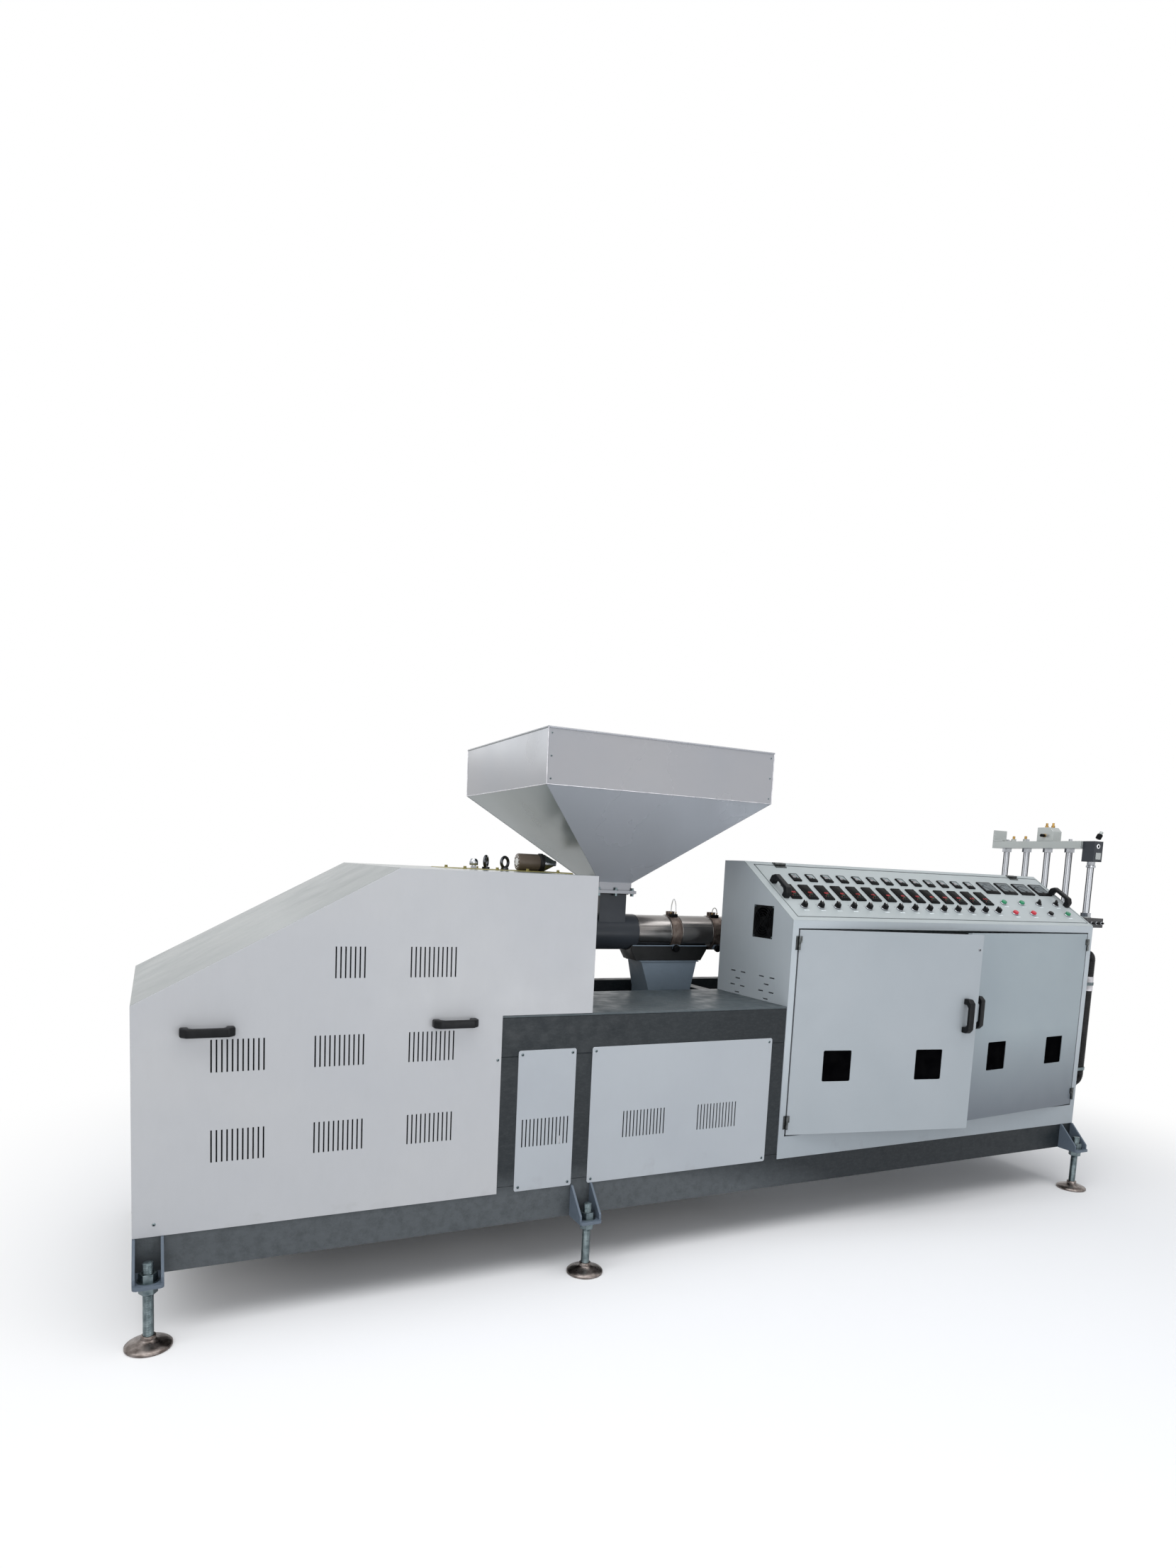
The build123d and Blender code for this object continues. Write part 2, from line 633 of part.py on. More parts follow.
def oil_filter():
    # Drum, clamp ring and tapered nose, lying along the gearbox's top.
    left = GEARBOX_RIGHT - FILTER_SETBACK
    ring_left = left + FILTER_LENGTH
    cone_left = ring_left + FILTER_RING
    height = GEARBOX_TOP + FILTER_RADIUS
    ring_radius = FILTER_RADIUS + FILTER_RING_PROUD
    drum = rod_along_x(left, ring_left, AXIS_DEPTH, height, FILTER_RADIUS)
    ring = rod_along_x(ring_left, cone_left, AXIS_DEPTH, height, ring_radius)
    ring -= span(ring_left, cone_left, AXIS_DEPTH - ring_radius, AXIS_DEPTH + ring_radius, 0, GEARBOX_TOP)
    cone = Cone(FILTER_RADIUS, FILTER_TIP_RADIUS, FILTER_CONE)
    cone = Pos(cone_left + FILTER_CONE / 2, AXIS_DEPTH, height) * Rot(0, 90, 0) * cone
    return drum + ring + cone


# Feed section and hopper
def feed_section():
    block = square_over_feed(FEED_BLOCK, AXIS_HEIGHT, FEED_TOP)
    flange_end = GEARBOX_RIGHT + GEARBOX_FLANGE
    cylinder = rod_along_x(flange_end, BARREL_START, AXIS_DEPTH, AXIS_HEIGHT, FEED_RADIUS)
    return block + cylinder - square_over_feed(FEED_THROAT, AXIS_HEIGHT, FEED_TOP + OVERRUN)


def hopper_solid(shrink, over):
    # The band, the pyramid and the neck, each side moved inwards by the shrink.
    neck_foot = FEED_TOP + HOPPER_FLANGE
    neck_top = neck_foot + NECK_HEIGHT
    cone_top = neck_top + CONE_HEIGHT
    neck_side = NECK_WIDTH - 2 * shrink
    band_x = HOPPER_LENGTH - 2 * shrink
    band_y = HOPPER_DEPTH - 2 * shrink
    neck = Rectangle(neck_side, neck_side)
    band = Rectangle(band_x, band_y)
    middle = Pos(FEED_X, AXIS_DEPTH, 0)
    pyramid = loft([Pos(0, 0, neck_top) * neck, Pos(0, 0, cone_top) * band])
    collar = extrude(Pos(0, 0, neck_foot) * neck, amount=NECK_HEIGHT)
    rim = extrude(Pos(0, 0, cone_top) * band, amount=BAND_HEIGHT + over)
    return middle * (pyramid + collar + rim)


def square_over_feed(side, z0, z1):
    half = side / 2
    return span(FEED_X - half, FEED_X + half, AXIS_DEPTH - half, AXIS_DEPTH + half, z0, z1)


def hopper():
    # The flange at the foot rests on the feed block and has the throat's hole.
    flange = square_over_feed(HOPPER_FLANGE_WIDTH, FEED_TOP, FEED_TOP + HOPPER_FLANGE)
    flange -= square_over_feed(FEED_THROAT, FEED_TOP - OVERRUN, FEED_TOP + HOPPER_FLANGE + OVERRUN)
    return hopper_solid(0, 0) - hopper_solid(SHEET, OVERRUN) + flange


# Barrel, heaters and cooling
def barrel():
    tube = rod_along_x(BARREL_START, HEATER_END, AXIS_DEPTH, AXIS_HEIGHT, BARREL_RADIUS)
    return tube - rod_along_x(
        BARREL_START - OVERRUN, HEATER_END + OVERRUN, AXIS_DEPTH, AXIS_HEIGHT, SCREW_BORE_RADIUS
    )


def barrel_sleeve(x0, x1, radius):
    sleeve = rod_along_x(x0, x1, AXIS_DEPTH, AXIS_HEIGHT, radius)
    return sleeve - rod_along_x(
        x0 - OVERRUN, x1 + OVERRUN, AXIS_DEPTH, AXIS_HEIGHT, BARREL_RADIUS + FIT_GAP
    )


def heater_jackets():
    starts = [BARREL_START + index * HEATER_PITCH for index in range(HEATER_COUNT)]
    return [barrel_sleeve(start, start + JACKET_LENGTH, JACKET_RADIUS) for start in starts]


def jacket_bands():
    starts = [BARREL_START + index * HEATER_PITCH + JACKET_LENGTH for index in range(HEATER_COUNT)]
    return [barrel_sleeve(start, start + BAND_LENGTH, BAND_RADIUS) for start in starts]


def barrel_stand(centre):
    # A foot on the cross rail, a waisted web and a saddle under the heater band.
    left = centre - SUPPORT_WIDTH / 2
    right = centre + SUPPORT_WIDTH / 2
    foot_half = SUPPORT_FOOT / 2
    saddle_half = SUPPORT_SADDLE / 2
    foot_top = RAIL_TOP + SUPPORT_PLATE
    web = prism_along_x(
        [
            (AXIS_DEPTH - foot_half, RAIL_TOP), (AXIS_DEPTH + foot_half, RAIL_TOP),
            (AXIS_DEPTH + foot_half, foot_top), (AXIS_DEPTH + saddle_half, AXIS_HEIGHT - BAND_RADIUS),
            (AXIS_DEPTH + saddle_half, AXIS_HEIGHT), (AXIS_DEPTH - saddle_half, AXIS_HEIGHT),
            (AXIS_DEPTH - saddle_half, AXIS_HEIGHT - BAND_RADIUS), (AXIS_DEPTH - foot_half, foot_top),
        ],
        left, right,
    )
    return web - rod_along_x(left - OVERRUN, right + OVERRUN, AXIS_DEPTH, AXIS_HEIGHT, BAND_RADIUS + FIT_GAP)


def barrel_stands():
    return [barrel_stand(left + POST_FACE / 2) for left in (MID_POST, BASE_END - POST_FACE)]


def cooling_cowl():
    # A shallow trough under the first heater, cut to the heater band's curve.
    right = COWL_LEFT + COWL_LENGTH
    trough = prism_along_y(
        [
            (COWL_LEFT, AXIS_HEIGHT), (COWL_LEFT, COWL_BOTTOM + COWL_DROP),
            (COWL_LEFT + COWL_TAPER, COWL_BOTTOM), (right - COWL_TAPER, COWL_BOTTOM),
            (right, COWL_BOTTOM + COWL_DROP), (right, AXIS_HEIGHT),
        ],
        AXIS_DEPTH - COWL_HALF_WIDTH, AXIS_DEPTH + COWL_HALF_WIDTH,
    )
    bed_radius = BAND_RADIUS + FIT_GAP
    return trough - rod_along_x(COWL_LEFT - OVERRUN, right + OVERRUN, AXIS_DEPTH, AXIS_HEIGHT, bed_radius)


def cooling_duct():
    neck = COWL_BOTTOM - DUCT_HEIGHT
    upper = Pos(DUCT_X, AXIS_DEPTH, COWL_BOTTOM) * Rectangle(DUCT_TOP_LENGTH, DUCT_TOP_WIDTH)
    lower = Pos(DUCT_X, AXIS_DEPTH, neck) * Rectangle(DUCT_FOOT_LENGTH, DUCT_FOOT_WIDTH)
    return loft([lower, upper]) + extrude(lower, amount=neck - BLOWER_TOP, dir=(0, 0, -1))


def cooling_blower():
    # A volute drum with its outlet up, an inlet in front, a motor behind and a foot on its cross rail.
    front = AXIS_DEPTH - BLOWER_WIDTH / 2
    back = AXIS_DEPTH + BLOWER_WIDTH / 2
    half_outlet = DUCT_FOOT_LENGTH / 2
    half_foot = BLOWER_FOOT / 2
    drum = rod_along_y(DUCT_X, front, back, BLOWER_SHAFT, BLOWER_RADIUS)
    outlet = span(DUCT_X - half_outlet, DUCT_X + half_outlet, front, back, BLOWER_SHAFT, BLOWER_TOP)
    foot = span(DUCT_X - half_foot, DUCT_X + half_foot, front, back, LOWER_RAIL_TOP, BLOWER_SHAFT)
    motor = rod_along_y(DUCT_X, back, back + MOTOR_LENGTH, BLOWER_SHAFT, MOTOR_RADIUS)
    inlet_end = front + BLOWER_INLET_DEPTH
    inlet = rod_along_y(DUCT_X, front - OVERRUN, inlet_end, BLOWER_SHAFT, BLOWER_INLET_RADIUS)
    return drum + outlet + foot + motor - inlet


# Head
def rod_depths():
    first = AXIS_DEPTH - (ROD_COUNT - 1) / 2 * ROD_PITCH
    return [first + index * ROD_PITCH for index in range(ROD_COUNT)]


def head_adapter():
    flange = rod_along_x(HEATER_END, HEATER_END + ADAPTER_LENGTH, AXIS_DEPTH, AXIS_HEIGHT, ADAPTER_RADIUS)
    return flange + rod_along_x(HEATER_END, MANIFOLD_LEFT, AXIS_DEPTH, AXIS_HEIGHT, BARREL_RADIUS)


def head_manifold():
    # A crossbar over the body that the barrel feeds.
    half_bar = MANIFOLD_WIDTH / 2
    half_core = MANIFOLD_CORE / 2
    top = AXIS_HEIGHT + MANIFOLD_RISE
    bar_bottom = top - MANIFOLD_BAR
    bottom = AXIS_HEIGHT - MANIFOLD_DROP
    right = MANIFOLD_LEFT + MANIFOLD_LENGTH
    bar = span(MANIFOLD_LEFT, right, AXIS_DEPTH - half_bar, AXIS_DEPTH + half_bar, bar_bottom, top)
    return bar + span(MANIFOLD_LEFT, right, AXIS_DEPTH - half_core, AXIS_DEPTH + half_core, bottom, bar_bottom)


def head_nozzles():
    start = MANIFOLD_LEFT + MANIFOLD_LENGTH
    end = start + NOZZLE_LENGTH
    nozzles = []
    for y in rod_depths():
        nozzle = rod_along_x(start, end, y, NOZZLE_HEIGHT, NOZZLE_RADIUS)
        bore = rod_along_x(end - NOZZLE_LENGTH / 2, end + OVERRUN, y, NOZZLE_HEIGHT, NOZZLE_BORE_RADIUS)
        nozzles.append(nozzle - bore)
    return nozzles


def head_rods():
    bottom = AXIS_HEIGHT + MANIFOLD_RISE
    plate_bottom = AXIS_HEIGHT + PLATE_RISE
    tops = [plate_bottom + PLATE_THICKNESS] + [plate_bottom] * (ROD_COUNT - 1)
    return [rod_along_z(HEAD_X, y, bottom, top, ROD_RADIUS) for y, top in zip(rod_depths(), tops)]


def rod_clamp():
    half = CLAMP_WIDTH / 2
    y = rod_depths()[0]
    top = AXIS_HEIGHT + PLATE_RISE + PLATE_THICKNESS
    clamp = span(HEAD_X - half, HEAD_X + half, y - half, y + half, top - CLAMP_HEIGHT, top)
    return clamp - rod_along_z(HEAD_X, y, top - CLAMP_HEIGHT - OVERRUN, top + OVERRUN, ROD_RADIUS + FIT_GAP)


def head_plate():
    depths = rod_depths()
    half = PLATE_WIDTH / 2
    near = depths[0] + CLAMP_WIDTH / 2
    bottom = AXIS_HEIGHT + PLATE_RISE
    far = depths[-1] + PLATE_FAR_LAP
    return span(HEAD_X - half, HEAD_X + half, near, far, bottom, bottom + PLATE_THICKNESS)


def head_valve_block():
    bottom = AXIS_HEIGHT + PLATE_RISE + PLATE_THICKNESS
    near = AXIS_DEPTH - VALVE_LENGTH / 2
    far = AXIS_DEPTH + VALVE_LENGTH / 2
    outline = [
        (near, bottom), (far, bottom), (far, bottom + VALVE_HEIGHT),
        (near + VALVE_SLANT, bottom + VALVE_HEIGHT), (near, bottom + VALVE_HEIGHT - VALVE_SLANT),
    ]
    return prism_along_x(outline, HEAD_X - VALVE_WIDTH / 2, HEAD_X + VALVE_WIDTH / 2)


def plate_angle():
    bottom = AXIS_HEIGHT + PLATE_RISE + PLATE_THICKNESS
    far = rod_depths()[-1] + PLATE_FAR_LAP
    half = PLATE_WIDTH / 2
    foot = span(HEAD_X - half, HEAD_X + half, far - ANGLE_LEG, far, bottom, bottom + ANGLE_THICKNESS)
    return foot + span(HEAD_X - half, HEAD_X + half, far - ANGLE_THICKNESS, far, bottom, bottom + ANGLE_LEG)


# Control cabinet
def cabinet_outline(inset, bottom):
    # The outline in depth and height, each edge moved inwards by the inset.
    slope = math.radians(DESK_ANGLE)
    front_drop = inset * (1 - math.sin(slope)) / math.cos(slope)
    top_shift = inset * math.tan(slope / 2)
    return [
        (inset, bottom),
        (inset, CABINET_FRONT_TOP - front_drop),
        (DESK_RUN + top_shift, CABINET_TOP - inset),
        (CABINET_DEPTH - inset, CABINET_TOP - inset),
        (CABINET_DEPTH - inset, bottom),
    ]


def cabinet_strip(edge, bottom):
    # One side of the wrap round the cabinet, mitred where it meets the next.
    outer = cabinet_outline(0, bottom)
    inner = cabinet_outline(SHEET, bottom)
    return prism_along_x([outer[edge], outer[edge + 1], inner[edge + 1], inner[edge]], CABINET_LEFT, BASE_END)


def cabinet_side(x0):
    return prism_along_x(cabinet_outline(SHEET, LOWER_RAIL_TOP), x0, x0 + SHEET)


def louvres(x0):
    cuts = []
    for centre in LOUVRE_GROUPS:
        for row in range(LOUVRE_ROWS):
            across = (0,) if row % 2 == 0 else (-LOUVRE_STEP, LOUVRE_STEP)
            for shift in across:
                y = centre + shift
                z = DECK_TOP + LOUVRE_RISE + row * LOUVRE_ROW_STEP
                cuts.append(
                    span(
                        x0 - OVERRUN, x0 + SHEET + OVERRUN, y - LOUVRE_LENGTH / 2, y + LOUVRE_LENGTH / 2,
                        z, z + LOUVRE_HEIGHT,
                    )
                )
    return cuts


def fan_window(x0, x1):
    half = FAN_SIDE / 2
    z = CABINET_FRONT_TOP - FAN_DROP
    return span(x0, x1, FAN_DEPTH_CENTRE - half, FAN_DEPTH_CENTRE + half, z - half, z + half)


def cabinet_left_side():
    side = cabinet_side(CABINET_LEFT) - louvres(CABINET_LEFT)
    return side - fan_window(CABINET_LEFT - OVERRUN, CABINET_LEFT + SHEET + OVERRUN)


def cabinet_right_side():
    return cabinet_side(BASE_END - SHEET) - louvres(BASE_END - SHEET)


def cabinet_back():
    return cabinet_strip(3, LOWER_RAIL_TOP)


def cabinet_floor():
    return span(
        CABINET_LEFT + SHEET, BASE_END - SHEET, SHEET, CABINET_DEPTH - SHEET,
        LOWER_RAIL_TOP, LOWER_RAIL_TOP + SHEET,
    )


def cabinet_top():
    return cabinet_strip(2, LOWER_RAIL_TOP)


def cabinet_front_frame():
    doorway = span(DOOR_LEFT, DOOR_RIGHT, -OVERRUN, SHEET + OVERRUN, DOOR_BOTTOM, DOOR_TOP)
    return cabinet_strip(0, PANEL_BOTTOM) - doorway


def cabinet_desk_frame():
    window = span(
        LID_LEFT - SEAM, LID_RIGHT + SEAM, LID_LOWER_MARGIN - SEAM, LID_TOP + SEAM,
        -SHEET - OVERRUN, OVERRUN,
    )
    return cabinet_strip(1, LOWER_RAIL_TOP) - desk * window


def cabinet_fan():
    half = FAN_SIDE / 2
    inner = CABINET_LEFT + SHEET + FAN_DEPTH
    z = CABINET_FRONT_TOP - FAN_DROP
    body = fan_window(CABINET_LEFT, inner)
    body -= rod_along_x(CABINET_LEFT - OVERRUN, inner + OVERRUN, FAN_DEPTH_CENTRE, z, half - FAN_RING)
    hub = rod_along_x(CABINET_LEFT + SHEET, inner, FAN_DEPTH_CENTRE, z, FAN_HUB_RADIUS)
    centre = Pos((CABINET_LEFT + SHEET + inner) / 2, FAN_DEPTH_CENTRE, z)
    reach = FAN_DEPTH * FAN_BLADE_SHARE
    blade = Rot(0, 0, FAN_PITCH_ANGLE) * span(
        -reach, reach, -SHEET / 2, SHEET / 2, FAN_HUB_RADIUS - FAN_RING, half - FAN_RING / 2
    )
    blades = [centre * Rot(index * 360 / FAN_BLADES, 0, 0) * blade for index in range(FAN_BLADES)]
    return body + hub + blades


def conduit_height(share):
    upper = CABINET_FRONT_TOP - CONDUIT_DROP
    lower = PANEL_BOTTOM + CONDUIT_RISE
    return upper + share * (lower - upper)


def conduit():
    # Leaves the cabinet's side, runs down it and turns in again.
    outer = BASE_END + CONDUIT_STANDOFF
    corners = [
        (x, CONDUIT_DEPTH, conduit_height(share))
        for x, share in ((BASE_END, 0), (outer, 0), (outer, 1), (BASE_END, 1))
    ]
    path = FilletPolyline(*corners, radius=CONDUIT_BEND)
    return sweep(Plane(path @ 0, z_dir=path % 0) * Circle(CONDUIT_RADIUS), path=path)


def conduit_clip(share):
    # A strap round the conduit with a foot behind it.
    middle = conduit_height(share)
    outer = BASE_END + CONDUIT_STANDOFF
    bottom = middle - CLIP_WIDTH / 2
    top = middle + CLIP_WIDTH / 2
    hole_radius = CONDUIT_RADIUS + FIT_GAP
    reach = hole_radius + CLIP_WALL
    foot_reach = reach + CLIP_FOOT
    strap = rod_along_z(outer, CONDUIT_DEPTH, bottom, top, reach)
    strap += span(BASE_END, outer, CONDUIT_DEPTH - reach, CONDUIT_DEPTH + reach, bottom, top)
    strap += span(BASE_END, BASE_END + CLIP_WALL, CONDUIT_DEPTH, CONDUIT_DEPTH + foot_reach, bottom, top)
    strap -= rod_along_z(outer, CONDUIT_DEPTH, bottom - OVERRUN, top + OVERRUN, hole_radius)
    return strap - span(
        BASE_END - OVERRUN, outer, CONDUIT_DEPTH - hole_radius, CONDUIT_DEPTH + hole_radius,
        bottom - OVERRUN, top + OVERRUN,
    )


# Doors
def hinge_heights():
    return (DOOR_BOTTOM + HINGE_INSET, DOOR_TOP - HINGE_INSET)


def hinge_knuckle(x, z0, z1, bore):
    knuckle = rod_along_z(x, -HINGE_STANDOFF, z0, z1, KNUCKLE_RADIUS)
    if bore:
        knuckle -= rod_along_z(x, -HINGE_STANDOFF, z0 - OVERRUN, z1 + OVERRUN, PIN_RADIUS + PIN_FIT)
    return knuckle


def fixed_hinge(x, z, side):
    # The lower knuckle carries the pin. The side is -1 where the frame lies to the left.
    bottom = z - HINGE_HEIGHT / 2
    leaf = span(*sorted((x, x + side * HINGE_LEAF)), -SHEET, 0, bottom, z + HINGE_HEIGHT / 2)
    leaf -= rod_along_z(x, -HINGE_STANDOFF, z, z + HINGE_HEIGHT, KNUCKLE_RADIUS + FIT_GAP)
    knuckle = hinge_knuckle(x, bottom, z, False)
    pin = rod_along_z(x, -HINGE_STANDOFF, z, z + HINGE_HEIGHT / 2, PIN_RADIUS)
    return leaf + knuckle + pin


def moving_hinge(x, z, side):
    bottom = z + FIT_GAP
    top = z + HINGE_HEIGHT / 2
    near = x + side * SEAM / 2
    root = x + side * (PIN_RADIUS + SHEET / 2)
    leaf = span(*sorted((near, x + side * HINGE_LEAF)), -SHEET, 0, bottom, top)
    bridge = span(*sorted((root, root + side * SHEET)), -HINGE_STANDOFF, 0, bottom, top)
    return leaf + hinge_knuckle(x, bottom, top, True) + bridge


def door_hinge_x(side):
    return DOOR_LEFT + SEAM / 2 if side > 0 else DOOR_RIGHT - SEAM / 2


def door_axis(side):
    return Axis((door_hinge_x(side), -HINGE_STANDOFF, 0), (0, 0, 1))


def ajar(piece, side):
    angle = DOOR_AJAR[0] if side > 0 else -DOOR_AJAR[1]
    return piece.rotate(door_axis(side), -angle)


def door_x(side, distance):
    # A distance from the hinge side of the door, turned into X.
    return DOOR_LEFT + SEAM + distance if side > 0 else DOOR_RIGHT - SEAM - distance


def door_pan(side):
    x0, x1 = sorted((door_x(side, 0), door_x(side, DOOR_WIDTH)))
    bottom = DOOR_BOTTOM + SEAM
    top = DOOR_TOP - SEAM
    pan = span(x0, x1, 0, DOOR_FOLD, bottom, top)
    pan -= span(x0 + SHEET, x1 - SHEET, SHEET, DOOR_FOLD + OVERRUN, bottom + SHEET, top - SHEET)
    for share in LEFT_VENT_SHARES if side > 0 else RIGHT_VENT_SHARES:
        near = DOOR_WIDTH * share
        v0, v1 = sorted((door_x(side, near), door_x(side, near + DOOR_VENT)))
        low = DOOR_BOTTOM + DOOR_VENT_RISE
        window = span(v0, v1, -OVERRUN, SHEET + OVERRUN, low, low + DOOR_VENT)
        pan -= fillet(window.edges().filter_by(Axis.Y), DOOR_VENT_CORNER)
    return ajar(pan, side)


def door_handle(side):
    place = Pos(door_x(side, DOOR_WIDTH - DOOR_HANDLE_INSET), 0, DOOR_BOTTOM + DOOR_HANDLE_RISE)
    upright = Rot(90, 0, 0) * Rot(0, 0, 90)
    return ajar(place * upright * bridge_handle(DOOR_HANDLE_LENGTH), side)


def door_hinges(side):
    return [ajar(moving_hinge(door_hinge_x(side), z, side), side) for z in hinge_heights()]


def cabinet_door_hinges():
    return [fixed_hinge(door_hinge_x(side), z, -side) for side in (1, -1) for z in hinge_heights()]


# Instrument lid, drawn flat: X across, Y up the desk, Z out of it
def windows(lefts, bottom, width, height):
    return [
        span(
            left + INSTRUMENT_LIP, left + width - INSTRUMENT_LIP,
            bottom + INSTRUMENT_LIP, bottom + height - INSTRUMENT_LIP, -SHEET - OVERRUN, OVERRUN,
        )
        for left in lefts
    ]


def instruments(lefts, bottom, width, height):
    body_gap = INSTRUMENT_LIP + FIT_GAP
    pieces = []
    for left in lefts:
        bezel = span(left, left + width, bottom, bottom + height, 0, INSTRUMENT_BEZEL)
        body = span(
            left + body_gap, left + width - body_gap, bottom + body_gap, bottom + height - body_gap,
            -INSTRUMENT_BODY, 0,
        )
        pieces.append(desk * (bezel + body))
    return pieces


def controller_lefts():
    return [CONTROLLERS_LEFT + index * CONTROLLER_PITCH for index in range(CONTROLLER_COUNT)]


def meter_lefts():
    inset = (CONTROLLER_WIDTH - METER_WIDTH) / 2
    return [left + inset for left in controller_lefts()[1:]]


def big_meter_lefts():
    return [BIG_METERS_LEFT + index * BIG_METER_PITCH for index in range(BIG_METER_COUNT)]


def button_centres():
    return [left + BUTTON_INSET for left in big_meter_lefts()]


def instrument_lid():
    pan = span(LID_LEFT, LID_RIGHT, LID_LOWER_MARGIN, LID_TOP, -LID_FOLD, 0)
    pan -= span(
        LID_LEFT + SHEET, LID_RIGHT - SHEET, LID_LOWER_MARGIN + SHEET, LID_TOP - SHEET,
        -LID_FOLD - OVERRUN, -SHEET,
    )
    pan -= windows(controller_lefts(), CONTROLLER_RISE, CONTROLLER_WIDTH, CONTROLLER_HEIGHT)
    pan -= windows(meter_lefts(), METER_RISE, METER_WIDTH, METER_HEIGHT)
    pan -= windows(big_meter_lefts(), BIG_METER_RISE, BIG_METER_SIDE, BIG_METER_SIDE)
    return desk * pan


def small_meters():
    return instruments(meter_lefts(), METER_RISE, METER_WIDTH, METER_HEIGHT)


def large_meters():
    return instruments(big_meter_lefts(), BIG_METER_RISE, BIG_METER_SIDE, BIG_METER_SIDE)


def selector_knobs():
    knobs = []
    for left in controller_lefts():
        x = left + CONTROLLER_WIDTH / 2
        collar = rod_along_z(x, KNOB_RISE, 0, KNOB_COLLAR, KNOB_COLLAR_RADIUS)
        knobs.append(desk * (collar + rod_along_z(x, KNOB_RISE, KNOB_COLLAR, KNOB_HEIGHT, KNOB_RADIUS)))
    return knobs


def push_buttons():
    buttons = []
    for rise in BUTTON_RISES:
        for x in button_centres():
            collar = rod_along_z(x, rise, 0, KNOB_COLLAR, KNOB_COLLAR_RADIUS)
            buttons.append(desk * (collar + rod_along_z(x, rise, KNOB_COLLAR, BUTTON_HEIGHT, BUTTON_RADIUS)))
    return buttons


def lid_handles():
    handle = Rot(0, 0, 90) * bridge_handle(LID_HANDLE_LENGTH)
    middle = (LID_LOWER_MARGIN + LID_TOP) / 2
    inset = HANDLE_WIDTH / 2 + SHEET
    return [desk * Pos(x, middle, 0) * handle for x in (LID_LEFT + inset, LID_RIGHT - inset)]


def lid_hinge_lefts():
    left_inset, right_inset = LID_HINGE_INSETS
    return (CABINET_LEFT + left_inset, BASE_END - right_inset - LID_HINGE_LENGTH)


def lid_hinge_line():
    # The hinge pins lie over the middle of the lid's upper seam.
    return LID_TOP + SEAM / 2


def lid_pin(x0, x1, radius):
    return rod_along_x(x0, x1, lid_hinge_line(), HINGE_STANDOFF, radius)


def lid_hinges_fixed():
    pieces = []
    for left in lid_hinge_lefts():
        middle = left + LID_HINGE_LENGTH / 2
        right = left + LID_HINGE_LENGTH
        near = LID_TOP + SEAM
        leaf = span(left, right, near, near + LID_HINGE_LEAF, 0, SHEET)
        leaf -= lid_pin(middle - FIT_GAP, right + OVERRUN, KNUCKLE_RADIUS + FIT_GAP)
        bridge = span(left, middle - FIT_GAP, lid_hinge_line() + PIN_RADIUS, near + SHEET, 0, HINGE_STANDOFF)
        knuckle = lid_pin(left, middle - FIT_GAP, KNUCKLE_RADIUS)
        pieces.append(desk * (leaf + bridge + knuckle + lid_pin(middle - FIT_GAP, right, PIN_RADIUS)))
    return pieces


def lid_hinges_moving():
    pieces = []
    for left in lid_hinge_lefts():
        middle = left + LID_HINGE_LENGTH / 2
        right = left + LID_HINGE_LENGTH
        leaf = span(left, right, LID_TOP - LID_HINGE_LEAF, LID_TOP, 0, SHEET)
        leaf -= lid_pin(left - OVERRUN, middle, KNUCKLE_RADIUS + FIT_GAP)
        bridge = span(middle, right, LID_TOP - SHEET, lid_hinge_line() - PIN_RADIUS, 0, HINGE_STANDOFF)
        knuckle = lid_pin(middle, right, KNUCKLE_RADIUS)
        bore = lid_pin(middle - OVERRUN, right + OVERRUN, PIN_RADIUS + PIN_FIT)
        pieces.append(desk * (leaf + bridge + knuckle - bore))
    return pieces


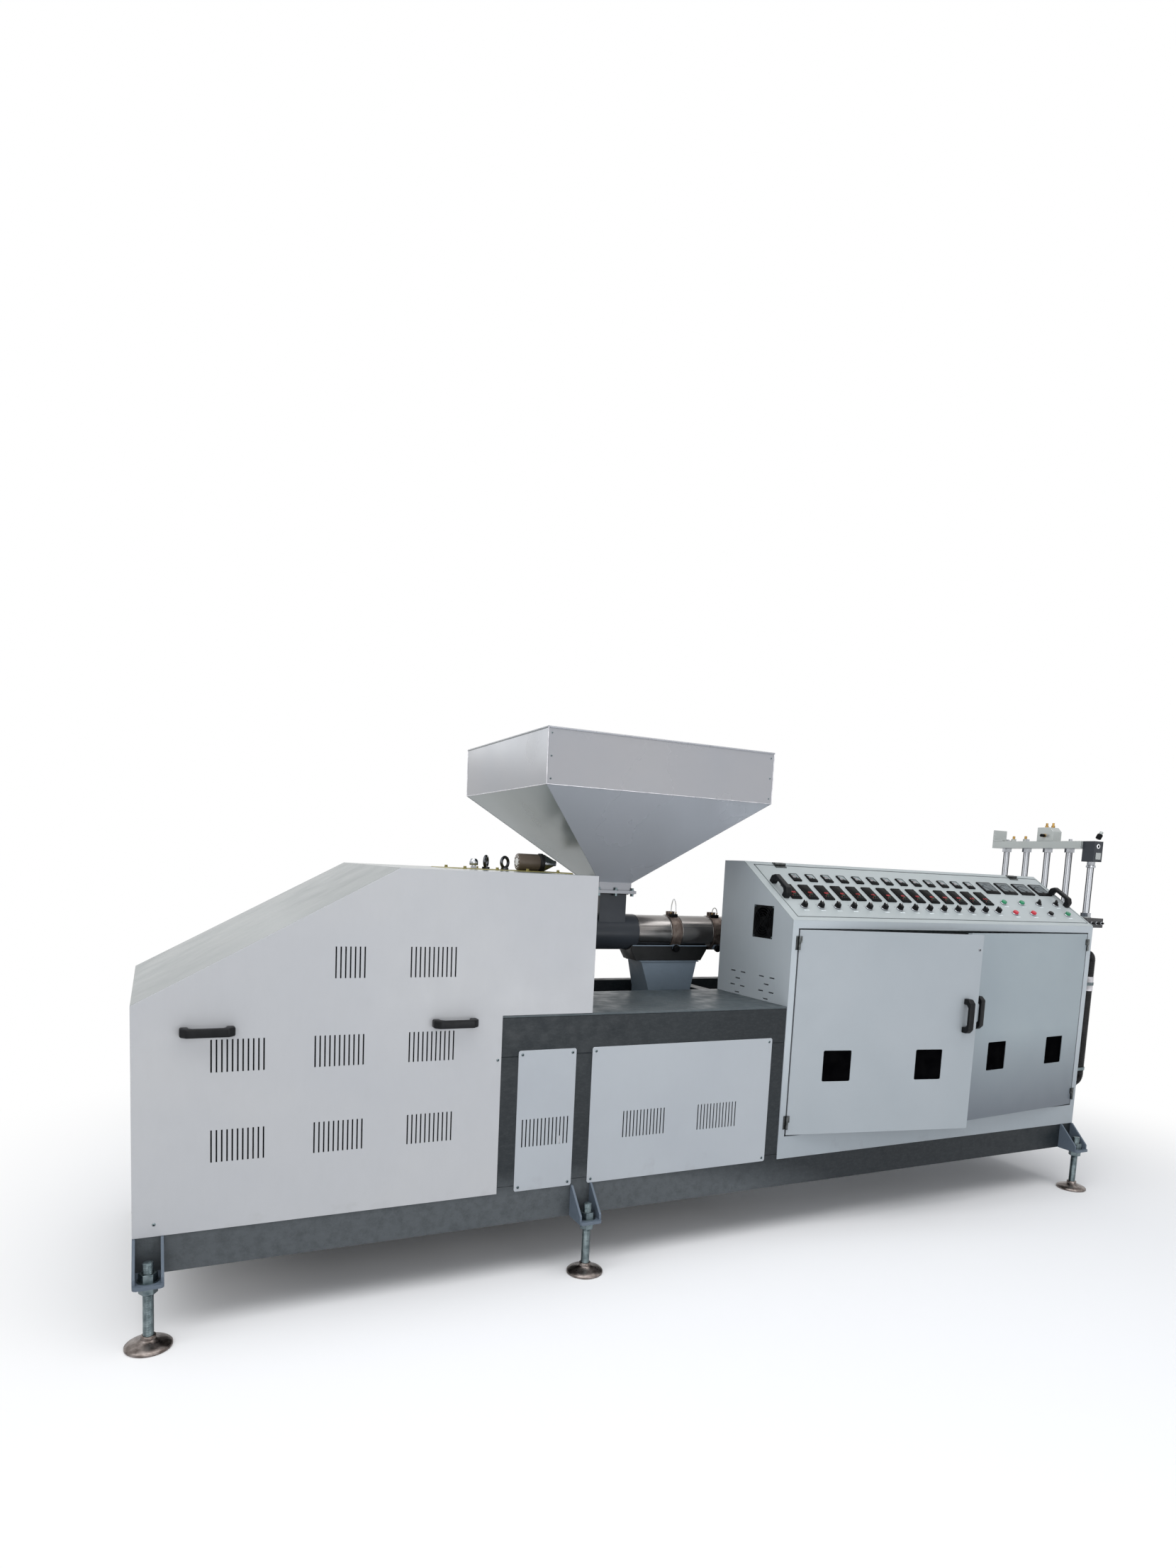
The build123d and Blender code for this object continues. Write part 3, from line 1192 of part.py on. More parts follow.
NODES = {
    "side_rails": lower_side_rails() + upper_side_rails(),
    "cross_rails": lower_cross_rails() + upper_cross_rails(),
    "frame_posts": frame_posts(),
    "deck_plate": [deck_plate()],
    "vent_panels": vent_panels(),
    "foot_brackets": at_all_feet(foot_bracket()),
    "foot_screws": at_all_feet(foot_screw()),
    "foot_nuts": foot_nuts(),
    "foot_pads": at_all_feet(foot_pad()),
    "housing_front_panel": [housing_front_panel()],
    "housing_rear_panel": [mirrored_to_back(housing_front_panel())],
    "housing_end_panels": [housing_drive_end(), housing_feed_end()],
    "housing_slope_cover": [slope_cover()],
    "housing_top_cover": [top_cover()],
    "housing_handles": housing_handles(),
    "gearbox": [gearbox()],
    "gearbox_lifting_eyes": lifting_eyes(),
    "gearbox_breather": [gearbox_breather()],
    "oil_filter": [oil_filter()],
    "feed_section": [feed_section()],
    "hopper": [hopper()],
    "barrel": [barrel()],
    "heater_jackets": heater_jackets(),
    "jacket_bands": jacket_bands(),
    "barrel_stands": barrel_stands(),
    "cooling_cowl": [cooling_cowl()],
    "cooling_duct": [cooling_duct()],
    "cooling_blower": [cooling_blower()],
    "head_adapter": [head_adapter()],
    "head_manifold": [head_manifold()],
    "head_nozzles": head_nozzles(),
    "head_rods": head_rods(),
    "rod_clamp": [rod_clamp()],
    "head_plate": [head_plate()],
    "head_valve_block": [head_valve_block()],
    "plate_angle": [plate_angle()],
    "cabinet_sides": [cabinet_left_side(), cabinet_right_side()],
    "cabinet_back": [cabinet_back()],
    "cabinet_floor": [cabinet_floor()],
    "cabinet_top": [cabinet_top()],
    "cabinet_front_frame": [cabinet_front_frame()],
    "cabinet_desk_frame": [cabinet_desk_frame()],
    "cabinet_fan": [cabinet_fan()],
    "conduit": [conduit()],
    "conduit_clips": [conduit_clip(share) for share in CLIP_SHARES],
    "cabinet_hinges": cabinet_door_hinges() + lid_hinges_fixed(),
    "left_door": [door_pan(1)],
    "left_door_handle": [door_handle(1)],
    "left_door_hinges": door_hinges(1),
    "right_door": [door_pan(-1)],
    "right_door_handle": [door_handle(-1)],
    "right_door_hinges": door_hinges(-1),
    "instrument_lid": [instrument_lid()],
    "temperature_controllers": instruments(
        controller_lefts(), CONTROLLER_RISE, CONTROLLER_WIDTH, CONTROLLER_HEIGHT
    ),
    "panel_meters": small_meters() + large_meters(),
    "selector_knobs": selector_knobs(),
    "push_buttons": push_buttons(),
    "lid_handles": lid_handles(),
    "lid_hinges": lid_hinges_moving(),
}


# The origin is the middle of the machine's footprint, on the floor.
everything = [solid for pieces in NODES.values() for piece in pieces for solid in piece.solids()]
box = Compound(everything).bounding_box()
ORIGIN = Vector((box.min.X + box.max.X) / 2, (box.min.Y + box.max.Y) / 2, box.min.Z)
to_origin = Pos(-ORIGIN.X, -ORIGIN.Y, -ORIGIN.Z)

os.makedirs("parts", exist_ok=True)
for name, pieces in NODES.items():
    solids = [solid for piece in pieces for solid in (to_origin * piece).solids()]
    shape = solids[0] if len(solids) == 1 else Compound(solids)
    export_step(shape, f"parts/{name}.step")
print("nodes", len(NODES), "origin", ORIGIN)
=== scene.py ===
import json
import math

import bmesh
import bpy
from mathutils import Matrix, Vector


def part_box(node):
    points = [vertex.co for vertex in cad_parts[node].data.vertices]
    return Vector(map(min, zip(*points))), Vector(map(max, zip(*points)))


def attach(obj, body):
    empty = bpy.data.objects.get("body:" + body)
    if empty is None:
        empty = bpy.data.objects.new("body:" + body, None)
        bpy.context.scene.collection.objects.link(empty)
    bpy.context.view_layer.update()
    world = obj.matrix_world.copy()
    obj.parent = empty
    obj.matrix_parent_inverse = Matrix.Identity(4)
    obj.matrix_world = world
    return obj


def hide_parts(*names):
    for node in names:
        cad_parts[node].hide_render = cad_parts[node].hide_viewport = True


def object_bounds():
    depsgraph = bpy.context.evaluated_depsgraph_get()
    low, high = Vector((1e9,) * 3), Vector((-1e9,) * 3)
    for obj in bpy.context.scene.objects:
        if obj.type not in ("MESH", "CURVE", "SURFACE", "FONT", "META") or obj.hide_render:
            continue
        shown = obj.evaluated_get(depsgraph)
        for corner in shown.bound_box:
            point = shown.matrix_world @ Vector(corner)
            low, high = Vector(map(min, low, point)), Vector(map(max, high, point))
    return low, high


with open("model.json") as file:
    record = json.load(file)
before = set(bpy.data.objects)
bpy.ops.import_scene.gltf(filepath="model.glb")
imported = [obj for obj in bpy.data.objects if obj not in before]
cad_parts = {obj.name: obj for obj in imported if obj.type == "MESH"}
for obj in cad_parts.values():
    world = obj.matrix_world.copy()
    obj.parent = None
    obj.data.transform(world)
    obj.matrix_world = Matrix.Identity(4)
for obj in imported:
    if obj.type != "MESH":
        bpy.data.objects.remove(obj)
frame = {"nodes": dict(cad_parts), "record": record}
cad_low, cad_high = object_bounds()
NODES = frame["nodes"]

# Sizes in metres, with the main places read from the frame
MM = 0.001
MERGE = 0.01 * MM
EDGE_ANGLE = 32  # degrees: sharper edges are rounded or kept crisp
PANEL_SCREW_INSET = 14 * MM
CENTRE_Y = (cad_low.y + cad_high.y) / 2
DECK_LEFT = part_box("vent_panels")[0].x - 60 * MM
DECK_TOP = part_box("deck_plate")[1].z
LOWER_RAIL_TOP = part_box("frame_posts")[0].z
SLOPE_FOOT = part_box("housing_slope_cover")[0].z
BRACKET_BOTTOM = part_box("foot_brackets")[0].z
FEED_X = (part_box("hopper")[0].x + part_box("hopper")[1].x) / 2
AXIS_Y = (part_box("barrel")[0].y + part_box("barrel")[1].y) / 2
AXIS_Z = (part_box("barrel")[0].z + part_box("barrel")[1].z) / 2
BLOWER_SHAFT = LOWER_RAIL_TOP + 190 * MM
DESK_FOOT = Vector((0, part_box("cabinet_front_frame")[0].y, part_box("cabinet_front_frame")[1].z))
DESK_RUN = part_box("cabinet_top")[0].y - DESK_FOOT.y
DESK_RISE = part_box("cabinet_top")[1].z - DESK_FOOT.z
DESK = Matrix.Translation(DESK_FOOT) @ Matrix.Rotation(math.atan2(DESK_RISE, DESK_RUN), 4, "X")
QUARTER_HANDLE = 0.552  # handle of a Bezier curve that draws a quarter circle, in radii
# Bars of a lit figure: a, g and d lie across from the top down, f and b stand above, e and c below
SEGMENTS = {
    "0": "abcdef", "1": "bc", "2": "abged", "3": "abgcd", "4": "fgbc", "5": "afgcd", "6": "afgedc",
    "7": "abc", "8": "abcdefg", "9": "abcdfg",
}

# The room, and the camera as solved from the photograph's straight edges
FLOOR_SIZE = 40.0
ROOM_COLOUR = (0.86, 0.89, 0.93, 1)
ROOM_STRENGTH = 0.55
SENSOR_WIDTH = 36  # millimetres, as is the focal length
FOCAL_LENGTH = 20.705
LENS_SHIFT = (-0.0070, 0.1162)
CAMERA_PLACE = (-2.17456, -3.146234, 1.37835)
CAMERA_TURNS = (83.6814, -2.7372, -26.1282)  # degrees

# Edge rounding of the nodes that get it, in millimetres. Nought only smooths the curves.
ROUNDED = {
    "side_rails": 4, "cross_rails": 4, "frame_posts": 3, "barrel_stands": 1.5, "deck_plate": 1.5,
    "vent_panels": 1, "foot_brackets": 1.5, "foot_nuts": 1.5, "cabinet_hinges": 0.6, "left_door_hinges": 0.6,
    "right_door_hinges": 0.6, "lid_hinges": 0.6, "housing_front_panel": 1, "housing_rear_panel": 1,
    "housing_end_panels": 1, "housing_slope_cover": 1, "housing_top_cover": 1, "housing_handles": 4.5,
    "left_door_handle": 4.5, "right_door_handle": 4.5, "lid_handles": 4.5, "gearbox": 4,
    "gearbox_lifting_eyes": 0, "head_nozzles": 1.5, "feed_section": 2, "barrel": 0, "head_adapter": 2,
    "rod_clamp": 2, "hopper": 0, "heater_jackets": 1.2, "jacket_bands": 1.2, "cooling_cowl": 1.5,
    "cooling_duct": 2, "cooling_blower": 2, "head_manifold": 2.5, "head_rods": 1, "head_plate": 1.5,
    "head_valve_block": 2.5, "plate_angle": 1.2, "cabinet_sides": 0, "cabinet_back": 1, "cabinet_top": 1,
    "cabinet_front_frame": 1, "cabinet_desk_frame": 1, "instrument_lid": 1.2, "cabinet_fan": 1,
    "temperature_controllers": 1.6, "panel_meters": 1.8, "left_door": 1.5, "right_door": 1.5,
    "conduit_clips": 0.5,
}


# Colours, as the eye sees them, turned into the linear values that shaders take
def linear(red, green, blue):
    values = []
    for value in (red, green, blue):
        share = value / 255
        values.append(share / 12.92 if share <= 0.04045 else ((share + 0.055) / 1.055) ** 2.4)
    return (*values, 1.0)


class Surface:
    """A node material on Object coordinates, built up from named finishes."""

    def __init__(self, name, colour, roughness=0.5, metallic=0.0):
        self.material = bpy.data.materials.new(name)
        self.material.use_nodes = True
        self.tree = self.material.node_tree
        self.shader = self.tree.nodes["Principled BSDF"]
        self.shader.inputs["Base Color"].default_value = linear(*colour)
        self.shader.inputs["Roughness"].default_value = roughness
        self.shader.inputs["Metallic"].default_value = metallic
        self.place = self.tree.nodes.new("ShaderNodeTexCoord").outputs["Object"]
        self.normal = None

    def set(self, socket, value):
        self.shader.inputs[socket].default_value = value
        return self

    def node(self, kind, **values):
        made = self.tree.nodes.new(kind)
        for key, value in values.items():
            setattr(made, key, value)
        return made

    def join(self, output, entry):
        self.tree.links.new(output, entry)

    def stretched(self, scale):
        mapping = self.node("ShaderNodeMapping")
        mapping.inputs["Scale"].default_value = scale
        self.join(self.place, mapping.inputs["Vector"])
        return mapping.outputs["Vector"]

    def noise(self, size, detail=4.0, scale=(1, 1, 1), roughness=0.5):
        # The size is the spread of one blotch, in metres.
        made = self.node("ShaderNodeTexNoise")
        made.inputs["Scale"].default_value = 1 / size
        made.inputs["Detail"].default_value = detail
        made.inputs["Roughness"].default_value = roughness
        self.join(self.stretched(scale), made.inputs["Vector"])
        return made.outputs["Fac"]

    def ramp(self, factor, stops):
        made = self.node("ShaderNodeValToRGB")
        elements = made.color_ramp.elements
        while len(elements) < len(stops):
            elements.new(0.5)
        for element, (place, colour) in zip(elements, stops):
            element.position = place
            element.color = colour
        self.join(factor, made.inputs["Fac"])
        return made.outputs["Color"]

    def level(self, factor, low, high, start=0.3, end=0.7):
        made = self.node("ShaderNodeMapRange")
        made.inputs["From Min"].default_value = start
        made.inputs["From Max"].default_value = end
        made.inputs["To Min"].default_value = low
        made.inputs["To Max"].default_value = high
        self.join(factor, made.inputs["Value"])
        return made.outputs["Result"]

    def blotches(self, size, first, second, start=0.35, end=0.65, scale=(1, 1, 1)):
        # The base colour drifts between two tones.
        stops = [(start, linear(*first)), (end, linear(*second))]
        self.join(self.ramp(self.noise(size, scale=scale), stops), self.shader.inputs["Base Color"])
        return self

    def stained(self, factor, colour, amount):
        # Lays a stain over the base colour where the factor is high.
        mix = self.node("ShaderNodeMix", data_type="RGBA")
        base = self.shader.inputs["Base Color"]
        if base.links:
            self.join(base.links[0].from_socket, mix.inputs["A"])
        else:
            mix.inputs["A"].default_value = base.default_value
        mix.inputs["B"].default_value = linear(*colour)
        self.join(self.level(factor, 0, amount, 0.45, 0.75), mix.inputs["Factor"])
        self.join(mix.outputs["Result"], base)
        return self

    def gloss(self, size, low, high, scale=(1, 1, 1)):
        self.join(self.level(self.noise(size, scale=scale), low, high), self.shader.inputs["Roughness"])
        return self

    def bump(self, factor, depth, strength=1.0):
        made = self.node("ShaderNodeBump")
        made.inputs["Distance"].default_value = depth
        made.inputs["Strength"].default_value = strength
        self.join(factor, made.inputs["Height"])
        if self.normal is not None:
            self.join(self.normal, made.inputs["Normal"])
        self.normal = made.outputs["Normal"]
        self.join(self.normal, self.shader.inputs["Normal"])
        return self

    def fade_along(self, axis, low, high):
        # One at the low end of an axis, nought at the high one.
        parts = self.node("ShaderNodeSeparateXYZ")
        self.join(self.place, parts.inputs["Vector"])
        return self.level(parts.outputs[axis], 1, 0, low, high)

    def leaning(self, axis):
        # One on sides that face both down and the low end of an axis.
        parts = self.node("ShaderNodeSeparateXYZ")
        self.join(self.node("ShaderNodeTexCoord").outputs["Normal"], parts.inputs["Vector"])
        ways = [self.level(parts.outputs[way], 1, 0, -0.6, -0.3) for way in (axis, "Z")]
        return self.times(*ways)

    def times(self, first, second):
        made = self.node("ShaderNodeMath", operation="MULTIPLY")
        self.join(first, made.inputs[0])
        self.join(second, made.inputs[1])
        return made.outputs["Value"]


def powder_coat(name, colour, second, roughness=0.38, low_tone=0.35, painted_shade=0.0):
    # Sprayed enamel: a slow drift of tone, a fine orange peel, soft smudges and dust low down.
    # The last argument is the share of a painted shade, a darker tone towards the floor.
    low_colour, smudge_tone, painted_shade_tone = (120, 118, 112), (150, 150, 150), (92, 98, 106)
    paint = Surface(name, colour, roughness)
    paint.set("Specular IOR Level", 0.28)
    paint.blotches(0.55, colour, second, 0.3, 0.7)
    paint.stained(paint.times(paint.noise(0.06, 6), paint.fade_along("Z", 0.18, 0.75)), low_colour, low_tone)
    paint.stained(paint.noise(0.022, 8, (1, 1, 0.35), 0.7), smudge_tone, 0.08)
    # Painted shade: a darker tone that grows towards the floor.
    if painted_shade:
        paint.stained(paint.fade_along("Z", 0.1, 1.3), painted_shade_tone, painted_shade)
    paint.gloss(0.09, roughness - 0.07, roughness + 0.09)
    paint.bump(paint.noise(0.0022, 2), 0.00003, 0.4)
    paint.bump(paint.noise(0.35, 1), 0.0012, 0.25)
    return paint.material


def gloss_coat(name, colour, second, roughness=0.17):
    # Clean enamel that mirrors the lights, with a slow waviness in the sheet.
    paint = Surface(name, colour, roughness)
    paint.set("Specular IOR Level", 0.12)
    paint.blotches(0.5, colour, second, 0.3, 0.7)
    paint.gloss(0.12, roughness - 0.03, roughness + 0.05)
    paint.bump(paint.noise(0.28, 1), 0.001, 0.12)
    return paint.material


def smooth_enamel(name, colour, second, roughness=0.34):
    # Cast iron under a thick coat: soft lumps, few marks.
    paint = Surface(name, colour, roughness)
    paint.set("Specular IOR Level", 0.25)
    paint.blotches(0.12, colour, second, 0.3, 0.7)
    paint.stained(paint.noise(0.02, 7, (1, 1, 1), 0.7), second, 0.35)
    paint.gloss(0.06, roughness - 0.06, roughness + 0.08)
    paint.bump(paint.noise(0.03, 2), 0.0006, 0.25)
    return paint.material


def worn_enamel(name, colour, second, bare=(120, 124, 126), roughness=0.42, low_tone=0.0):
    # Frame paint with scuffs and scratches; its lowest parts to the left get a lighter tone, partly dust,
    # partly painted light.
    low_colour = (124, 130, 134)
    paint = Surface(name, colour, roughness)
    paint.set("Specular IOR Level", 0.25)
    paint.blotches(0.4, colour, second, 0.3, 0.7)
    if low_tone:
        # Lighter on the lowest parts towards the left: partly dust and partly painted light from the left.
        dust_and_light_mask = paint.times(paint.fade_along("Z", 0.2, 0.5), paint.fade_along("X", -0.6, 1.0))
        paint.stained(dust_and_light_mask, low_colour, low_tone)
    paint.stained(paint.noise(0.03, 9, (1, 1, 1), 0.75), second, 0.5)
    paint.stained(paint.noise(0.012, 6, (0.5, 1, 1), 0.8), bare, 0.08)
    paint.gloss(0.05, roughness - 0.1, roughness + 0.14)
    paint.bump(paint.noise(0.002, 3), 0.0001, 0.5)
    return paint.material


def sheet_steel(name, colour, second, roughness, grain=(0.03, 1, 1), metallic=0.85):
    # Stainless sheet: long grain, handling marks and a slow waviness.
    steel = Surface(name, colour, roughness, metallic)
    steel.blotches(0.3, colour, second, 0.3, 0.7)
    steel.stained(steel.noise(0.004, 3, grain, 0.6), second, 0.2)
    steel.gloss(0.12, roughness - 0.05, roughness + 0.08)
    steel.bump(steel.noise(0.3, 1), 0.0025, 0.35)
    return steel.material


def satin_sheet(name, colour, second, roughness=0.24, metallic=0.3):
    # Thin stainless with broad soft clouds of tone that paint soft reflections. Sides that lean down
    # to the front get painted light from the floor, those that lean down to the left a painted shade.
    floor_lit, turned_away = (184, 188, 195), (131, 140, 141)
    steel = Surface(name, colour, roughness, metallic)
    steel.set("Specular IOR Level", 0.3)
    steel.blotches(0.45, colour, second, 0.35, 0.7)
    steel.stained(steel.leaning("Y"), floor_lit, 1.0)
    steel.stained(steel.leaning("X"), turned_away, 1.0)
    steel.gloss(0.3, roughness - 0.04, roughness + 0.06)
    return steel.material


def round_bar(name, light, dark, roughness=0.3):
    # Ground bar with a painted reflection: bright where it faces the eye, dark lines towards its rims.
    bar = Surface(name, light, roughness, 0.4)
    bar.set("Specular IOR Level", 0.2)
    # Painted reflection: the tone follows how squarely the surface faces the eye.
    rim = bar.node("ShaderNodeLayerWeight").outputs["Facing"]
    middle_tone = tuple((bright + dim) // 2 for bright, dim in zip(light, dark))
    stops = [(0.0, light), (0.05, middle_tone), (0.1, light), (0.2, light), (0.34, dark), (1.0, dark)]
    painted_reflection = bar.ramp(rim, [(place, linear(*tone)) for place, tone in stops])
    bar.join(painted_reflection, bar.shader.inputs["Base Color"])
    return bar.material


def bright_metal(name, colour, roughness=0.2, second=None, patch=0.02, bump=0.00005):
    # Plated or polished steel, brass too: patches of a second tone and a faint grain.
    metal = Surface(name, colour, roughness, 1.0)
    metal.blotches(patch, colour, second or tuple(int(value * 0.8) for value in colour))
    metal.gloss(patch * 0.6, max(0.04, roughness - 0.05), roughness + 0.1)
    if bump:
        metal.bump(metal.noise(0.003, 3), bump, 0.4)
    return metal.material


def scorched_band(name):
    # Bare band between two heater covers: brown heat tint with scratches round it.
    pale_tint, brown_tint, soot = (128, 116, 108), (88, 76, 70), (60, 48, 42)
    band = Surface(name, (112, 100, 93), 0.45, 0.8)
    band.blotches(0.02, pale_tint, brown_tint, 0.35, 0.65)
    band.stained(band.noise(0.004, 8, (1, 1, 1), 0.8), soot, 0.5)
    band.gloss(0.008, 0.32, 0.6)
    band.bump(band.noise(0.0015, 6, (0.3, 1, 1)), 0.0003, 0.6)
    return band.material


def moulded_plastic(name, colour, roughness=0.42, grain=0.0009, shine=0.25):
    # Plastic or rubber with a fine moulded grain, greyer where it is rubbed.
    rubbed = tuple(min(255, int(value * 1.25) + 3) for value in colour)
    plastic = Surface(name, colour, roughness)
    plastic.set("Specular IOR Level", shine)
    plastic.blotches(0.03, colour, rubbed)
    plastic.gloss(0.02, roughness - 0.06, roughness + 0.1)
    plastic.bump(plastic.noise(grain, 2), 0.00005, 0.6)
    return plastic.material


def shadow_black(name):
    # The unlit inside seen through vents and slots.
    painted_shade = Surface(name, (4, 4, 5), 0.95)
    painted_shade.set("Specular IOR Level", 0.0)
    painted_shade.blotches(0.05, (3, 3, 4), (8, 8, 9))
    return painted_shade.material


def dark_glass(name, colour, roughness=0.4):
    glass = Surface(name, colour, roughness)
    glass.set("Specular IOR Level", 0.03)
    glass.gloss(0.02, roughness - 0.03, roughness + 0.06)
    return glass.material


def lit_display(name, colour, strength):
    display = Surface(name, colour, 0.3)
    display.set("Emission Color", linear(*colour)).set("Emission Strength", strength)
    display.gloss(0.01, 0.2, 0.4)
    return display.material


FINISHES = {
    "housing": powder_coat("housing_enamel", (172, 173, 175), (165, 167, 171)),
    # The vent panels' enamel is a darker copy of the housing's: painted shade, as the light falls off to the
    # right.
    "vent_panel": powder_coat("vent_panel_enamel", (161, 166, 171), (154, 159, 165)),
    "slope": gloss_coat("slope_enamel", (107, 115, 115), (101, 109, 109)),
    "door_left": powder_coat("left_door_enamel", (154, 160, 165), (147, 154, 159)),
    # The right door's enamel is a darker copy of the left door's: painted shade, as the light falls off to
    # the right. It also gets more painted shade towards the floor.
    "door_right": powder_coat("right_door_enamel", (147, 157, 162), (140, 150, 156), painted_shade=0.9),
    # The cabinet gets a painted shade, a darker tone towards the floor.
    "cabinet": powder_coat("cabinet_enamel", (172, 179, 184), (163, 171, 176), painted_shade=0.35),
    "desk": powder_coat("desk_enamel", (164, 171, 173), (154, 161, 162), 0.42, 0.0),
    # The frame's low tone is partly dust and partly painted light from the left on its lowest rails.
    "base": worn_enamel("base_enamel", (28, 34, 38), (24, 29, 33), low_tone=0.29),
    # The brackets wear the frame's dark paint; this lighter copy of it is painted light, making up for the
    # shade they stand in.
    "bracket": worn_enamel("bracket_enamel", (94, 105, 117), (80, 90, 101)),
    "deck": worn_enamel("deck_enamel", (78, 86, 90), (62, 70, 74), (150, 152, 150), 0.38),
    "duct": worn_enamel("duct_enamel", (104, 117, 129), (88, 100, 110), (124, 130, 134), 0.45),
    "cowl": worn_enamel("cowl_enamel", (9, 11, 12), (7, 8, 9), (60, 62, 62), 0.42),
    "feed": smooth_enamel("feed_enamel", (52, 56, 62), (44, 48, 54)),
    "gearbox": worn_enamel("gearbox_enamel", (150, 142, 84), (128, 120, 70), (96, 90, 60), 0.4),
    "filter": worn_enamel("filter_enamel", (104, 94, 84), (84, 74, 66), (150, 140, 130), 0.35),
    # The hopper carries painted reflections, and painted light and shade on its downward sides.
    "hopper": satin_sheet("hopper_sheet", (150, 152, 157), (155, 155, 158)),
    "jacket": sheet_steel("heater_cover", (150, 147, 145), (104, 100, 98), 0.2, (0.05, 1, 1), 1.0),
    "band": scorched_band("scorched_band"),
    "zinc": bright_metal("zinc_plate", (122, 134, 137), 0.34, (86, 98, 102)),
    "pad": bright_metal("pad_steel", (140, 132, 128), 0.3, (92, 84, 80)),
    "chrome": bright_metal("chrome", (176, 179, 184), 0.12, (150, 153, 158), 0.02, 0),
    # Light and dark tones of the rods' painted reflection.
    "rod": round_bar("ground_rod", (206, 208, 212), (30, 33, 38)),
    # The head plate gets the same painted reflections, light and shade.
    "plate": satin_sheet("milled_plate", (176, 180, 178), (160, 165, 164)),
    "head": worn_enamel("head_casting", (74, 74, 76), (58, 57, 58), (120, 116, 110), 0.45),
    "hinge": bright_metal("hinge_steel", (98, 101, 101), 0.3, (60, 63, 63)),
    "eye": bright_metal("blackened_steel", (84, 86, 90), 0.22, (50, 52, 55)),
    "brass": bright_metal("brass", (184, 148, 84), 0.28, (150, 118, 66)),
    "handle": moulded_plastic("handle_plastic", (16, 17, 19), 0.36, shine=0.14),
    "bezel": moulded_plastic("bezel_plastic", (10, 11, 12), 0.4, shine=0.06),
    "knob": moulded_plastic("knob_plastic", (14, 15, 16), 0.4, shine=0.12),
    "rubber": moulded_plastic("black_rubber", (20, 20, 21), 0.55, 0.0016),
    "dark": shadow_black("shadowed_black"),
    "window": dark_glass("controller_window", (4, 5, 5)),
    "dial": moulded_plastic("dial_card", (116, 124, 126), 0.5, shine=0.1),
    "red_display": lit_display("red_display", (150, 16, 26), 0.45),
    "green_display": lit_display("green_display", (20, 66, 40), 0.12),
    "key_grey": moulded_plastic("key_grey", (38, 40, 42), 0.5, shine=0.06),
    "meter_dial": moulded_plastic("meter_dial", (72, 79, 82), 0.3, shine=0.15),
    "glass_fibre": moulded_plastic("glass_fibre", (214, 212, 204), 0.7),
    # Painted shade: dark sheets behind the slots, where the inside lies in shade.
    "mat": moulded_plastic("dust_mat", (26, 29, 32), 0.9, 0.003),
    "weld": bright_metal("weld_bead", (206, 206, 210), 0.3, (176, 176, 182)),
    "green_cap": moulded_plastic("green_cap", (36, 108, 76), 0.28),
    "red_cap": moulded_plastic("red_cap", (158, 42, 54), 0.28),
    "white_print": moulded_plastic("white_print", (222, 224, 226), 0.5),
    "label": moulded_plastic("desk_label", (176, 183, 185), 0.5, shine=0.1),
    "tape": moulded_plastic("grey_tape", (168, 166, 168), 0.5),
}

NODE_FINISHES = {
    "housing": ["housing_front_panel", "housing_rear_panel", "housing_end_panels"],
    "vent_panel": ["vent_panels"],
    "slope": ["housing_slope_cover", "housing_top_cover"],
    "base": ["side_rails", "cross_rails", "frame_posts", "barrel_stands"],
    "deck": ["deck_plate"],
    "bracket": ["foot_brackets"],
    "zinc": ["foot_screws", "foot_nuts", "conduit_clips"],
    "hinge": ["cabinet_hinges", "left_door_hinges", "right_door_hinges", "lid_hinges"],
    "rubber": ["conduit"],
    "pad": ["foot_pads"],
    "handle": ["housing_handles", "left_door_handle", "right_door_handle", "lid_handles"],
    "gearbox": ["gearbox"],
    "chrome": ["gearbox_breather", "head_nozzles"],
    "eye": ["gearbox_lifting_eyes"],
    "filter": ["oil_filter"],
    "feed": ["feed_section", "barrel", "head_adapter", "rod_clamp"],
    "hopper": ["hopper"],
    "jacket": ["heater_jackets"],
    "band": ["jacket_bands"],
    "cowl": ["cooling_cowl"],
    "duct": ["cooling_duct", "cooling_blower"],
    "head": ["head_manifold"],
    "rod": ["head_rods"],
    "plate": ["head_plate", "head_valve_block", "plate_angle"],
    "cabinet": ["cabinet_sides", "cabinet_back", "cabinet_floor", "cabinet_top", "cabinet_front_frame"],
    "desk": ["cabinet_desk_frame", "instrument_lid"],
    "bezel": ["cabinet_fan", "temperature_controllers", "panel_meters"],
    "knob": ["selector_knobs", "push_buttons"],
    "door_left": ["left_door"],
    "door_right": ["right_door"],
}


# Shapes read from the CAD nodes
def merged(node):
    # The node's loose triangles joined up, with flat faces made whole.
    shape = bmesh.new()
    shape.from_mesh(NODES[node].data)
    bmesh.ops.remove_doubles(shape, verts=shape.verts, dist=MERGE)
    bmesh.ops.dissolve_limit(shape, angle_limit=math.radians(1), verts=shape.verts, edges=shape.edges)
    return shape


def islands(node, frame_matrix=Matrix()):
    # The box of each solid of a node, in the frame's own axes, from left to right.
    shape = merged(node)
    inverse = frame_matrix.inverted()
    left = set(shape.verts)
    boxes = []
    while left:
        group, edge = set(), [left.pop()]
        while edge:
            corner = edge.pop()
            group.add(corner)
            for link in corner.link_edges:
                other = link.other_vert(corner)
                if other in left:
                    left.discard(other)
                    edge.append(other)
        places = [inverse @ corner.co for corner in group]
        low = Vector([min(place[axis] for place in places) for axis in range(3)])
        high = Vector([max(place[axis] for place in places) for axis in range(3)])
        boxes.append((low, high))
    shape.free()
    return sorted(boxes, key=lambda box: (round(box[0].x, 4), box[0].y, box[0].z))


def middle(box):
    return (box[0] + box[1]) / 2


